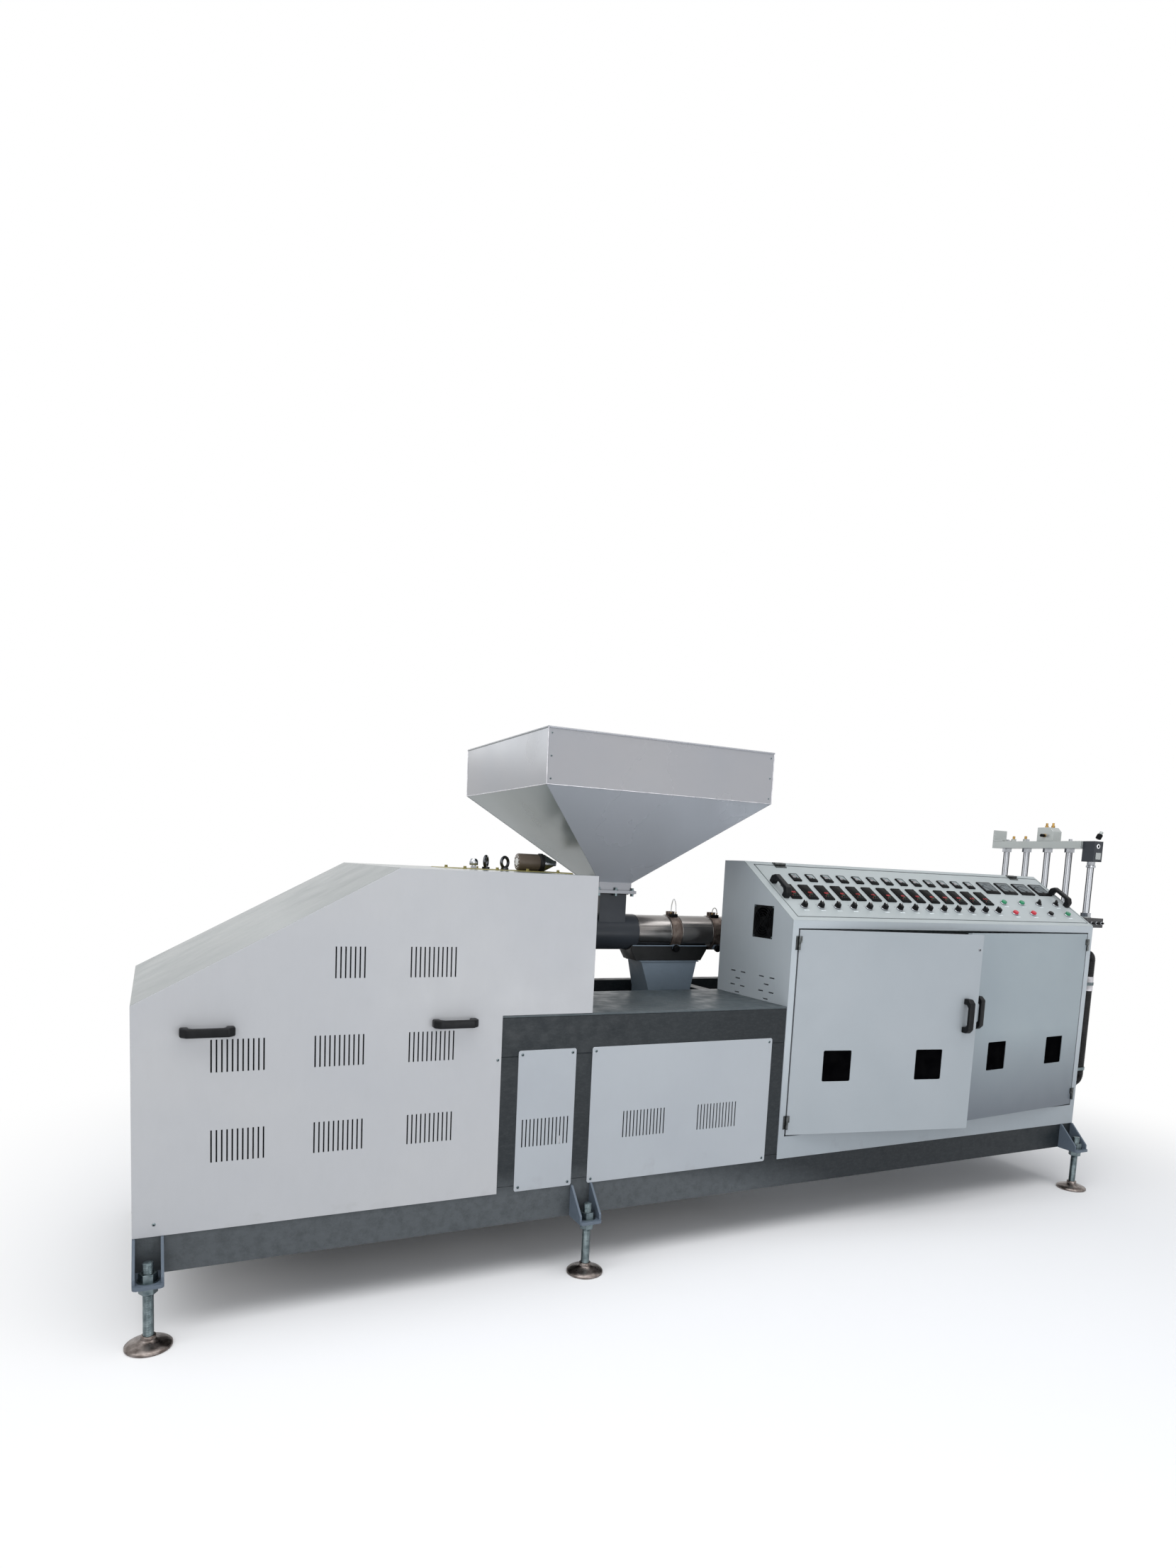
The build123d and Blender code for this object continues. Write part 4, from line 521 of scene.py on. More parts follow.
def new_piece(name, mesh, body, smooth=None):
    if smooth is not None:
        mesh.shade_smooth()
        mesh.set_sharp_from_angle(angle=math.radians(smooth))
    piece = bpy.data.objects.new(name, mesh)
    bpy.context.scene.collection.objects.link(piece)
    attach(piece, body)
    return piece


def settled(piece):
    # Turns live modifiers into a plain mesh.
    bpy.context.view_layer.update()
    graph = bpy.context.evaluated_depsgraph_get()
    mesh = bpy.data.meshes.new_from_object(
        piece.evaluated_get(graph), preserve_all_data_layers=True, depsgraph=graph
    )
    piece.modifiers.clear()
    piece.data = mesh


def dressed(node, finish, width=0.0, segments=2):
    # Stands in for a node with rounded edges and smooth curves.
    mesh = bpy.data.meshes.new(f"{node}_dressed")
    shape = merged(node)
    shape.to_mesh(mesh)
    shape.free()
    mesh.materials.append(FINISHES[finish])
    mesh.shade_smooth()
    piece = bpy.data.objects.new(f"{node}_dressed", mesh)
    bpy.context.scene.collection.objects.link(piece)
    if width:
        bevel = piece.modifiers.new("bevel", "BEVEL")
        bevel.width = width
        bevel.segments = segments
        bevel.limit_method = "ANGLE"
        bevel.angle_limit = math.radians(EDGE_ANGLE)
        bevel.use_clamp_overlap = True
        weighted = piece.modifiers.new("weighted", "WEIGHTED_NORMAL")
        weighted.mode = "FACE_AREA"
        weighted.weight = 100
        settled(piece)
    else:
        mesh.set_sharp_from_angle(angle=math.radians(EDGE_ANGLE))
    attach(piece, body_of(node))
    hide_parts(node)
    return piece


def body_of(node):
    for body, nodes in frame["record"]["behaviour"]["bodies"].items():
        if node in nodes:
            return body
    return "root"


class Kit:
    """Small parts of one sub-assembly, gathered into one mesh for each finish."""

    def __init__(self, name, body="root"):
        self.name, self.body = name, body
        self.shapes = {}

    def shape(self, finish):
        return self.shapes.setdefault(finish, bmesh.new())

    def block(self, finish, low, high, matrix=Matrix(), bevel=0.0):
        shape = self.shape(finish)
        low, high = Vector(low), Vector(high)
        size = high - low
        place = matrix @ Matrix.Translation((low + high) / 2) @ Matrix.Diagonal((*size, 1))
        made = bmesh.ops.create_cube(shape, size=1.0, matrix=place)["verts"]
        if bevel:
            edges = list({edge for corner in made for edge in corner.link_edges})
            bmesh.ops.bevel(shape, geom=edges, offset=bevel, segments=2, affect="EDGES", profile=0.5)

    def lathe(self, finish, profile, matrix=Matrix(), segments=24):
        # The profile is a list of radius and height, from the axis round to the axis.
        shape = self.shape(finish)
        rings = []
        for radius, height in profile:
            if radius == 0:
                rings.append([shape.verts.new(matrix @ Vector((0, 0, height)))])
                continue
            turns = [index * 2 * math.pi / segments for index in range(segments)]
            places = [Vector((radius * math.cos(turn), radius * math.sin(turn), height)) for turn in turns]
            rings.append([shape.verts.new(matrix @ place) for place in places])
        for lower, upper in zip(rings, rings[1:]):
            for index in range(segments):
                corners = [
                    lower[index % len(lower)], lower[(index + 1) % len(lower)],
                    upper[(index + 1) % len(upper)], upper[index % len(upper)],
                ]
                corners = list(dict.fromkeys(corners))
                if len(corners) > 2:
                    shape.faces.new(corners)

    def drum(self, finish, radius, start, end, matrix=Matrix(), segments=24, edge=0.0):
        profile = [(0, start), (radius - edge, start), (radius, start + edge)]
        profile += [(radius, end - edge), (radius - edge, end), (0, end)]
        if not edge:
            profile = [(0, start), (radius, start), (radius, end), (0, end)]
        self.lathe(finish, profile, matrix, segments)

    def ring(self, finish, radius, wire, matrix=Matrix(), segments=32, sides=8):
        # A round wire bent to a circle.
        shape = self.shape(finish)
        loops = []
        for index in range(segments):
            turn = index * 2 * math.pi / segments
            loop = []
            for side in range(sides):
                swing = side * 2 * math.pi / sides
                reach = radius + wire * math.cos(swing)
                place = Vector((reach * math.cos(turn), reach * math.sin(turn), wire * math.sin(swing)))
                loop.append(shape.verts.new(matrix @ place))
            loops.append(loop)
        for index, loop in enumerate(loops):
            after = loops[(index + 1) % segments]
            for side in range(sides):
                other = (side + 1) % sides
                shape.faces.new([loop[side], after[side], after[other], loop[other]])

    def wire(self, finish, points, radius, sides=8):
        # A round wire along a path of points, drawn as a smooth curve.
        curve = bpy.data.curves.new("wire", "CURVE")
        curve.dimensions = "3D"
        curve.bevel_depth = radius
        curve.bevel_resolution = max(0, sides // 4 - 1)
        curve.use_fill_caps = True
        spline = curve.splines.new("NURBS")
        spline.points.add(len(points) - 1)
        for point, place in zip(spline.points, points):
            point.co = (*place, 1)
        spline.use_endpoint_u = True
        spline.order_u = 3
        holder = bpy.data.objects.new("wire", curve)
        bpy.context.scene.collection.objects.link(holder)
        bpy.context.view_layer.update()
        mesh = bpy.data.meshes.new_from_object(holder.evaluated_get(bpy.context.evaluated_depsgraph_get()))
        self.shape(finish).from_mesh(mesh)
        bpy.data.objects.remove(holder)
        bpy.data.curves.remove(curve)
        bpy.data.meshes.remove(mesh)

    def done(self, smooth=35):
        # One mesh for each finish, in the order in which the finishes came.
        pieces = []
        for finish, shape in self.shapes.items():
            bmesh.ops.recalc_face_normals(shape, faces=shape.faces)
            mesh = bpy.data.meshes.new(f"{self.name}_{finish}")
            shape.to_mesh(mesh)
            shape.free()
            mesh.materials.append(FINISHES[finish])
            pieces.append(new_piece(f"{self.name}_{finish}", mesh, self.body, smooth))
        return pieces


# Geometry node trees for what repeats
class Tree:
    """A geometry node tree with named inputs."""

    def __init__(self, name, inputs):
        self.group = bpy.data.node_groups.new(name, "GeometryNodeTree")
        face = self.group.interface
        face.new_socket("Geometry", in_out="INPUT", socket_type="NodeSocketGeometry")
        for key, kind in inputs.items():
            face.new_socket(key, in_out="INPUT", socket_type=f"NodeSocket{kind}")
        face.new_socket("Geometry", in_out="OUTPUT", socket_type="NodeSocketGeometry")
        self.entry = self.group.nodes.new("NodeGroupInput").outputs
        self.exit = self.group.nodes.new("NodeGroupOutput").inputs

    def node(self, kind, settings=None, **sockets):
        made = self.group.nodes.new(kind)
        for key, value in (settings or {}).items():
            setattr(made, key, value)
        for key, value in sockets.items():
            self.feed(made.inputs[key.replace("_", " ")], value)
        return made.outputs

    def feed(self, socket, value):
        if isinstance(value, bpy.types.NodeSocket):
            self.group.links.new(value, socket)
        else:
            socket.default_value = value

    def sum(self, kind, first, second):
        made = self.group.nodes.new("ShaderNodeMath")
        made.operation = kind
        self.feed(made.inputs[0], first)
        self.feed(made.inputs[1], second)
        return made.outputs["Value"]

    def moved(self, geometry, height=None, scale=None):
        made = self.group.nodes.new("GeometryNodeTransform")
        self.feed(made.inputs["Geometry"], geometry)
        if height is not None:
            place = self.node("ShaderNodeCombineXYZ", Z=height)["Vector"]
            self.feed(made.inputs["Translation"], place)
        if scale is not None:
            made.inputs["Scale"].default_value = scale
        return made.outputs["Geometry"]

    def painted(self, geometry, material):
        return self.node("GeometryNodeSetMaterial", Geometry=geometry, Material=material)["Geometry"]

    def joined(self, *geometries):
        made = self.group.nodes.new("GeometryNodeJoinGeometry")
        for geometry in geometries:
            self.feed(made.inputs["Geometry"], geometry)
        return made.outputs["Geometry"]

    def at_points(self, instance):
        # Stands the instance on each point, along the point's facing.
        facing = self.node("GeometryNodeInputNamedAttribute", {"data_type": "FLOAT_VECTOR"}, Name="facing")
        turn = self.node("FunctionNodeAlignRotationToVector", {"axis": "Z"}, Vector=facing["Attribute"])
        placed = self.node(
            "GeometryNodeInstanceOnPoints", Points=self.entry["Geometry"], Instance=instance,
            Rotation=turn["Rotation"],
        )
        return self.node("GeometryNodeRealizeInstances", Geometry=placed["Instances"])["Geometry"]

    def end(self, geometry):
        self.feed(self.exit["Geometry"], geometry)
        return self.group


def bolt_tree():
    # A hexagon head on a washer.
    washer_share = 1.25  # the washer's radius, of the head's
    tree = Tree(
        "hexagon_bolt", {"Radius": "Float", "Height": "Float", "Washer": "Float", "Finish": "Material"}
    )
    radius, height, washer = tree.entry["Radius"], tree.entry["Height"], tree.entry["Washer"]
    head = tree.node("GeometryNodeMeshCylinder", Vertices=6, Radius=radius, Depth=height)["Mesh"]
    washer_radius = tree.sum("MULTIPLY", radius, washer_share)
    plate = tree.node("GeometryNodeMeshCylinder", Vertices=20, Radius=washer_radius, Depth=washer)["Mesh"]
    half = tree.sum("MULTIPLY", height, 0.5)
    head = tree.moved(head, tree.sum("ADD", half, washer))
    plate = tree.moved(plate, tree.sum("MULTIPLY", washer, 0.5))
    both = tree.at_points(tree.joined(head, plate))
    return tree.end(tree.painted(both, tree.entry["Finish"]))


def screw_tree():
    # A domed head with a socket of painted shade, a dark hexagon. The shares are of the head's radius.
    socket_share, socket_depth, socket_rise = 0.45, 0.2, 0.42
    tree = Tree("domed_screw", {"Radius": "Float", "Finish": "Material", "Recess": "Material"})
    radius = tree.entry["Radius"]
    dome = tree.node("GeometryNodeMeshUVSphere", Segments=16, Rings=8, Radius=radius)["Mesh"]
    dome = tree.painted(tree.moved(dome, scale=(1, 1, 0.5)), tree.entry["Finish"])
    socket = tree.node(
        "GeometryNodeMeshCylinder", Vertices=6, Radius=tree.sum("MULTIPLY", radius, socket_share),
        Depth=tree.sum("MULTIPLY", radius, socket_depth),
    )["Mesh"]
    socket = tree.painted(
        tree.moved(socket, tree.sum("MULTIPLY", radius, socket_rise)), tree.entry["Recess"]
    )
    return tree.end(tree.at_points(tree.joined(dome, socket)))


def corrugated_tree():
    # A tube along a path, its wall waved once for each pitch.
    tree = Tree(
        "corrugated_tube", {"Radius": "Float", "Depth": "Float", "Pitch": "Float", "Finish": "Material"}
    )
    step = tree.sum("DIVIDE", tree.entry["Pitch"], 4)
    path = tree.node(
        "GeometryNodeResampleCurve", {"mode": "LENGTH"}, Curve=tree.entry["Geometry"], Length=step
    )["Curve"]
    length = tree.node("GeometryNodeSplineParameter")["Length"]
    turn = tree.sum("MULTIPLY", tree.sum("DIVIDE", length, tree.entry["Pitch"]), 2 * math.pi)
    wave = tree.sum("MULTIPLY", tree.sum("SINE", turn, 0.0), tree.entry["Depth"])
    circle = tree.node("GeometryNodeCurvePrimitiveCircle", Resolution=20, Radius=1.0)["Curve"]
    made = tree.group.nodes.new("GeometryNodeCurveToMesh")
    tree.feed(made.inputs["Curve"], path)
    tree.feed(made.inputs["Profile Curve"], circle)
    tree.feed(made.inputs["Fill Caps"], True)
    tree.feed(made.inputs["Scale"], tree.sum("ADD", tree.entry["Radius"], wave))
    return tree.end(tree.painted(made.outputs["Mesh"], tree.entry["Finish"]))


def grown(name, tree, source, body="root", smooth=35, **inputs):
    # Runs a tree on a mesh or a curve and keeps the result as a plain mesh.
    holder = bpy.data.objects.new(f"{name}_source", source)
    bpy.context.scene.collection.objects.link(holder)
    modifier = holder.modifiers.new("nodes", "NODES")
    modifier.node_group = tree
    for item in tree.interface.items_tree:
        if item.in_out == "INPUT" and item.name in inputs:
            modifier[item.identifier] = inputs[item.name]
    bpy.context.view_layer.update()
    graph = bpy.context.evaluated_depsgraph_get()
    mesh = bpy.data.meshes.new_from_object(holder.evaluated_get(graph), depsgraph=graph)
    bpy.data.objects.remove(holder)
    mesh.name = name
    return new_piece(name, mesh, body, smooth)


def points_mesh(places):
    # One point for each place, with the way it faces.
    mesh = bpy.data.meshes.new("points")
    mesh.from_pydata([place for place, facing in places], [], [])
    facing = mesh.attributes.new("facing", "FLOAT_VECTOR", "POINT")
    for item, (place, way) in zip(facing.data, places):
        item.vector = way
    return mesh


def bolts(name, places, radius, body="root", finish="zinc"):
    grown(
        name, TREES["bolt"], points_mesh(places), body, Radius=radius, Height=radius * 1.1,
        Washer=radius * 0.25, Finish=FINISHES[finish],
    )


def screws(name, places, radius, body="root", finish="zinc"):
    grown(
        name, TREES["screw"], points_mesh(places), body, Radius=radius, Finish=FINISHES[finish],
        Recess=FINISHES["dark"],
    )


def bolt_circle(count):
    # Turns of bolts spread evenly round a flange, none of them on an axis.
    return [(index + 0.5) * 2 * math.pi / count for index in range(count)]


def rod_between(kit, finish, start, end, radius, sides=10):
    kit.drum(finish, radius, 0, (end - start).length, facing_matrix(start, end - start), sides)


def facing_matrix(place, way):
    # Local Z points the given way at the place.
    return Matrix.Translation(place) @ Vector(way).to_track_quat("Z", "Y").to_matrix().to_4x4()


# The CAD nodes in their finishes
def dress_nodes():
    for finish, nodes in NODE_FINISHES.items():
        for node in nodes:
            if node in ROUNDED:
                dressed(node, finish, ROUNDED[node] * MM)
            else:
                NODES[node].data.materials.clear()
                NODES[node].data.materials.append(FINISHES[finish])


def outward(box):
    # Panels on the operator's side face -Y, those at the back +Y.
    sign = -1 if middle(box).y < CENTRE_Y else 1
    return sign, box[0].y if sign < 0 else box[1].y


def vent_panel_screws():
    places = []
    for panel in islands("vent_panels"):
        sign, face = outward(panel)
        for x in (panel[0].x + PANEL_SCREW_INSET, panel[1].x - PANEL_SCREW_INSET):
            for z in (panel[0].z + PANEL_SCREW_INSET, panel[1].z - PANEL_SCREW_INSET):
                places.append((Vector((x, face, z)), Vector((0, sign, 0))))
    screws("vent_panel_screws", places, 5 * MM)


def behind(box, depth, thickness):
    # The span in Y of a sheet that lies a depth behind a panel's face.
    sign, face = outward(box)
    inner = face - sign * depth
    return sorted((inner, inner - sign * thickness))


def slot_backing():
    # Dark sheets of painted shade behind the slots, so that no daylight shows through.
    # The housing has a long sheet below the foot of its slope and a shorter one above.
    thickness = 4 * MM
    panel_depth, panel_margin = 66 * MM, Vector((24 * MM, 0, 24 * MM))
    housing_depth, deck_gap, step_rise = 24 * MM, 20 * MM, 8 * MM
    long_inset, short_inset, top_gap = 150 * MM, 480 * MM, 150 * MM
    right, step = DECK_LEFT - deck_gap, SLOPE_FOOT + step_rise
    kit = Kit("dust_mat")
    for low, high in islands("vent_panels"):
        y0, y1 = behind((low, high), panel_depth, thickness)
        corners = Vector((low.x, y0, low.z)), Vector((high.x, y1, high.z))
        kit.block("mat", corners[0] + panel_margin, corners[1] - panel_margin)
    for node in ("housing_front_panel", "housing_rear_panel"):
        low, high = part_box(node)
        y0, y1 = behind((low, high), housing_depth, thickness)
        kit.block("mat", (low.x + long_inset, y0, LOWER_RAIL_TOP), (right, y1, step))
        kit.block("mat", (low.x + short_inset, y0, step), (right, y1, high.z - top_gap))
    kit.done(smooth=None)


# Base frame and levelling feet
def foot_threads():
    # Threaded screws in place of the plain ones.
    kit = Kit("foot_screw")
    for low, high in islands("foot_screws"):
        centre = middle((low, high))
        foot = Vector((centre.x, centre.y, low.z))
        thread(kit, "zinc", foot, high.z - low.z, (high.x - low.x) / 2)
    pieces = kit.done(smooth=50)
    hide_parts("foot_screws")


def foot_domes():
    # Turned pads: a thick rim, a dome and a neck with the screw's socket in it.
    neck, socket = 20 * MM, 15 * MM
    kit = Kit("foot_pad")
    for low, high in islands("foot_pads"):
        centre = middle((low, high))
        radius = (high.x - low.x) / 2
        top = high.z - low.z
        profile = [
            (0, 0), (radius - 2 * MM, 0), (radius, 2 * MM), (radius, 7 * MM), (radius - 3 * MM, 10 * MM),
            (radius * 0.75, 15 * MM), (radius * 0.5, 19 * MM), (neck + 3 * MM, 22.5 * MM), (neck, 25 * MM),
            (neck, top - 2 * MM), (neck - 2 * MM, top), (socket, top), (0, top - 4 * MM),
        ]
        kit.lathe("pad", profile, Matrix.Translation((centre.x, centre.y, 0)), 48)
    pieces = kit.done(smooth=50)
    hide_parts("foot_pads")


def foot_washers():
    # One at the bracket's side of each nut.
    radius, thickness = 29 * MM, 2.5 * MM
    kit = Kit("foot_washer")
    for low, high in islands("foot_nuts"):
        centre = middle((low, high))
        on_top = centre.z > BRACKET_BOTTOM
        z = low.z if on_top else high.z
        span = (0, thickness) if on_top else (-thickness, 0)
        kit.drum("zinc", radius, *span, Matrix.Translation((centre.x, centre.y, z)), 32)
    kit.done()


def thread(kit, finish, foot, length, radius, pitch=3.5 * MM, depth=1.6 * MM, sides=18):
    # A screw thread: a wall whose radius follows a helix.
    shape = kit.shape(finish)
    rows = int(length / pitch * 4)
    loops = []
    for row in range(rows + 1):
        height = length * row / rows
        loop = []
        for side in range(sides):
            turn = side / sides
            phase = (height / pitch - turn) % 1
            reach = radius - depth * abs(2 * phase - 1)
            angle = turn * 2 * math.pi
            place = Vector((reach * math.cos(angle), reach * math.sin(angle), height))
            loop.append(shape.verts.new(foot + place))
        loops.append(loop)
    for lower, upper in zip(loops, loops[1:]):
        for side in range(sides):
            other = (side + 1) % sides
            shape.faces.new([lower[side], lower[other], upper[other], upper[side]])
    shape.faces.new(list(reversed(loops[0])))
    shape.faces.new(loops[-1])


# Drive housing
def housing_details():
    # Each side panel has one screw at its outer foot and one beside the deck.
    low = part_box("housing_front_panel")[0]
    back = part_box("housing_rear_panel")[1].y
    outer_foot = (low.x + 55 * MM, low.z + 35 * MM)
    beside_deck = (DECK_LEFT - 12 * MM, DECK_TOP - 145 * MM)
    places = []
    for x, z in (outer_foot, beside_deck):
        places.append((Vector((x, low.y, z)), Vector((0, -1, 0))))
        places.append((Vector((x, back, z)), Vector((0, 1, 0))))
    screws("housing_screws", places, 5 * MM)


def handle_screws():
    end_inset, sink = 12 * MM, 12 * MM
    places = []
    for low, high in islands("housing_handles"):
        sign, face = outward((low, high))
        height = middle((low, high)).z
        for x in (low.x + end_inset, high.x - end_inset):
            places.append((Vector((x, face - sign * sink, height)), Vector((0, sign, 0))))
    screws("handle_screws", places, 6 * MM, finish="handle")


# Gearbox
def gearbox_details():
    # Cover bolts along both edges of the case and a ring of bolts on the output flange.
    low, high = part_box("gearbox")
    flange, end_inset, side_inset, circle_radius = 30 * MM, 40 * MM, 30 * MM, 97 * MM
    cover_bolts = []
    for share in (0.04, 0.35, 0.65, 0.96):
        x = low.x + end_inset + (high.x - flange - low.x - 2 * end_inset) * share
        for y in (low.y + side_inset, high.y - side_inset):
            cover_bolts.append((Vector((x, y, high.z)), Vector((0, 0, 1))))
    axis_y = middle(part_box("feed_section")).y
    flange_bolts = []
    for turn in bolt_circle(8):
        y, z = axis_y + circle_radius * math.cos(turn), AXIS_Z + circle_radius * math.sin(turn)
        flange_bolts.append((Vector((high.x, y, z)), Vector((1, 0, 0))))
    bolts("gearbox_flange_bolts", flange_bolts, 9 * MM)
    bolts("gearbox_cover_bolts", cover_bolts, 6 * MM, finish="gearbox")


def breather():
    # A hexagon foot, a stem and a domed cap.
    low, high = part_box("gearbox_breather")
    centre = middle((low, high))
    radius = (high.x - low.x) / 2
    foot, cap = 8 * MM, 26 * MM
    stem = high.z - low.z - cap
    kit = Kit("breather")
    base = Matrix.Translation((centre.x, centre.y, low.z))
    kit.drum("chrome", radius * 0.7, 0, foot, base, 6)
    kit.drum("chrome", radius * 0.5, foot, stem, base, 16)
    profile = [
        (0, stem), (radius * 0.92, stem), (radius, stem + 3 * MM), (radius, stem + 14 * MM),
        (radius * 0.9, stem + 20 * MM), (radius * 0.6, stem + 25 * MM), (0, stem + cap),
    ]
    kit.lathe("chrome", profile, base, 12)
    pieces = kit.done(smooth=30)
    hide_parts("gearbox_breather")


def filter_details():
    # A filter that lies on the case: painted drum, rubber ring, bright cone and a dotted end.
    low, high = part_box("oil_filter")
    radius = 33 * MM
    drum, ring, ring_proud, cone = 89 * MM, 19 * MM, 3.5 * MM, 56 * MM
    disc, disc_rise = 15 * MM, 1.2 * MM
    dots, dot_circle, dot, dot_rise = 10, 23 * MM, 2.6 * MM, 0.9 * MM
    place = (low.x, middle((low, high)).y, low.z + radius)
    left = Matrix.Translation(place) @ Matrix.Rotation(math.radians(90), 4, "Y")
    kit = Kit("oil_filter")
    profile = [
        (0, 0), (radius - 4 * MM, 0), (radius - 1 * MM, 2 * MM), (radius, 5 * MM), (radius, drum - 3 * MM),
        (radius - 2 * MM, drum), (0, drum),
    ]
    kit.lathe("filter", profile, left, 40)
    kit.drum("rubber", radius + ring_proud, drum, drum + ring, left, 40, 3 * MM)
    start = drum + ring
    profile = [(0, start), (radius, start), (radius, start + 6 * MM), (12 * MM, start + cone - 8 * MM)]
    profile += [(11 * MM, start + cone), (0, start + cone)]
    kit.lathe("chrome", profile, left, 32)
    kit.drum("white_print", disc, -disc_rise, 0, left, 24)
    for index in range(dots):
        turn = index * 2 * math.pi / dots
        spot = (dot_circle * math.cos(turn), dot_circle * math.sin(turn), 0)
        kit.drum("white_print", dot, -dot_rise, 0, left @ Matrix.Translation(spot), 10)
    pieces = kit.done()
    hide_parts("oil_filter")


# Feed section and hopper
def feed_details():
    # Eight bolts and nuts through the hopper's flange, and the gasket's four strips under it.
    flange, circle_reach = 12 * MM, 76 * MM
    outer, inner, drop = 66 * MM, 60.2 * MM, 4 * MM
    flange_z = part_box("feed_section")[1].z
    centre = Vector((FEED_X, AXIS_Y, 0))
    places, nuts = [], []
    for x in (-circle_reach, 0, circle_reach):
        for y in (-circle_reach, 0, circle_reach):
            if x or y:
                places.append((Vector((centre.x + x, centre.y + y, flange_z + flange)), Vector((0, 0, 1))))
                nuts.append((Vector((centre.x + x, centre.y + y, flange_z)), Vector((0, 0, -1))))
    bolts("hopper_bolts", places, 8 * MM)
    bolts("hopper_nuts", nuts, 8 * MM)
    kit = Kit("feed_gasket")
    for side in (-1, 1):
        near, far = sorted((side * inner, side * outer))
        for x0, y0, x1, y1 in ((near, -outer, far, outer), (-inner, near, inner, far)):
            low = (centre.x + x0, centre.y + y0, flange_z - drop)
            kit.block("rubber", low, (centre.x + x1, centre.y + y1, flange_z))
    kit.done(smooth=None)


def hopper_details():
    # Seams down the corners, a hem on the rim, a fold at the shoulder and rivets on the band.
    low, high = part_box("hopper")
    neck, neck_rise, cone_rise = 73 * MM, 44 * MM, 333 * MM
    cone_seam, band_seam, hem, fold = 1.2 * MM, 1.8 * MM, 3.5 * MM, 1.6 * MM
    neck_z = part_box("feed_section")[1].z + neck_rise
    cone_z = neck_z + cone_rise
    kit = Kit("hopper_trim")
    for sx in (-1, 1):
        for sy in (-1, 1):
            x = high.x if sx > 0 else low.x
            y = high.y if sy > 0 else low.y
            foot = Vector((FEED_X + sx * neck, AXIS_Y + sy * neck, neck_z))
            shoulder = Vector((x, y, cone_z))
            rod_between(kit, "hopper", foot, shoulder, cone_seam)
            rod_between(kit, "weld", shoulder, Vector((x, y, high.z)), band_seam)
    corners = [(low.x, low.y), (high.x, low.y), (high.x, high.y), (low.x, high.y)]
    for start, end in zip(corners, corners[1:] + corners[:1]):
        rod_between(kit, "hopper", Vector((*start, high.z)), Vector((*end, high.z)), hem)
        rod_between(kit, "weld", Vector((*start, cone_z)), Vector((*end, cone_z)), fold)
    kit.done(smooth=50)
    rivet_inset = 14 * MM
    places = []
    for x in (low.x + rivet_inset, high.x - rivet_inset):
        for share in (0.1, 0.5, 0.9):
            z = cone_z + (high.z - cone_z) * share
            places.append((Vector((x, low.y, z)), Vector((0, -1, 0))))
            places.append((Vector((x, high.y, z)), Vector((0, 1, 0))))
    screws("hopper_rivets", places, 3.5 * MM)


# Barrel
def barrel_details():
    # Clamp lugs and terminals on each heater band, with a short loop of wire over them.
    tall_loop, low_loop = 62 * MM, 26 * MM
    lugs = Kit("heater_lugs")
    wires = Kit("heater_wires")
    clamps = []
    for index, (low, high) in enumerate(islands("jacket_bands")):
        x = middle((low, high)).x
        clamps += clamp_lugs(lugs, x, high.z)
        terminal_capsule(lugs, x, (high.z - low.z) / 2)
        wire_loop(wires, x, high.z, tall_loop if index % 2 == 0 else low_loop)
    lugs.done()
    wires.done(smooth=60)
    screws("heater_clamp_screws", clamps, 4.5 * MM, finish="chrome")


def clamp_lugs(kit, x, top):
    # Two lugs that a screw draws together, two brass posts and their black cover.
    # Gives back where the screw's two heads go.
    lug_reach, lug_sink, lug_rise = 8 * MM, 4 * MM, 15 * MM
    half_long, half_thick = 16 * MM, 2 * MM
    post_reach, post_side, post_sink, post_radius = 12 * MM, 24 * MM, 6 * MM, 2.5 * MM
    post_way = Vector((0, -4 * MM, 20 * MM))
    cover_half, cover_far, cover_near = 19 * MM, 34 * MM, 14 * MM
    cover_sink, cover_rise = 9 * MM, 5 * MM
    screw_reach, screw_rise = 10 * MM, 8 * MM
    for side in (-1, 1):
        y = AXIS_Y + side * lug_reach
        low = (x - half_long, y - half_thick, top - lug_sink)
        kit.block("band", low, (x + half_long, y + half_thick, top + lug_rise), bevel=0.6 * MM)
    for shift in (-post_reach, post_reach):
        foot = Vector((x + shift, AXIS_Y - post_side, top - post_sink))
        rod_between(kit, "brass", foot, foot + post_way, post_radius)
    low = (x - cover_half, AXIS_Y - cover_far, top - cover_sink)
    kit.block("bezel", low, (x + cover_half, AXIS_Y - cover_near, top + cover_rise), bevel=2 * MM)
    place = Vector((x, AXIS_Y - screw_reach, top + screw_rise))
    return [(place, Vector((0, -1, 0))), (place + Vector((0, 2 * screw_reach, 0)), Vector((0, 1, 0)))]


def terminal_capsule(kit, x, radius):
    # A round black capsule on a small bracket, low on the operator's side.
    side_share, drop_share = 0.72, 0.85  # of the band's radius
    bracket_low, bracket_high = Vector((-14, -6, -4)) * MM, Vector((14, 12, 16)) * MM
    seat, seat_way = Vector((0, -6 * MM, 2 * MM)), (0, -1, -0.25)
    capsule_radius, capsule_depth, capsule_edge = 15 * MM, 16 * MM, 2.5 * MM
    below = Vector((x, AXIS_Y - radius * side_share, AXIS_Z - radius * drop_share))
    kit.block("bracket", below + bracket_low, below + bracket_high, bevel=1 * MM)
    capsule = facing_matrix(below + seat, seat_way)
    kit.drum("bezel", capsule_radius, 0, capsule_depth, capsule, 28, capsule_edge)


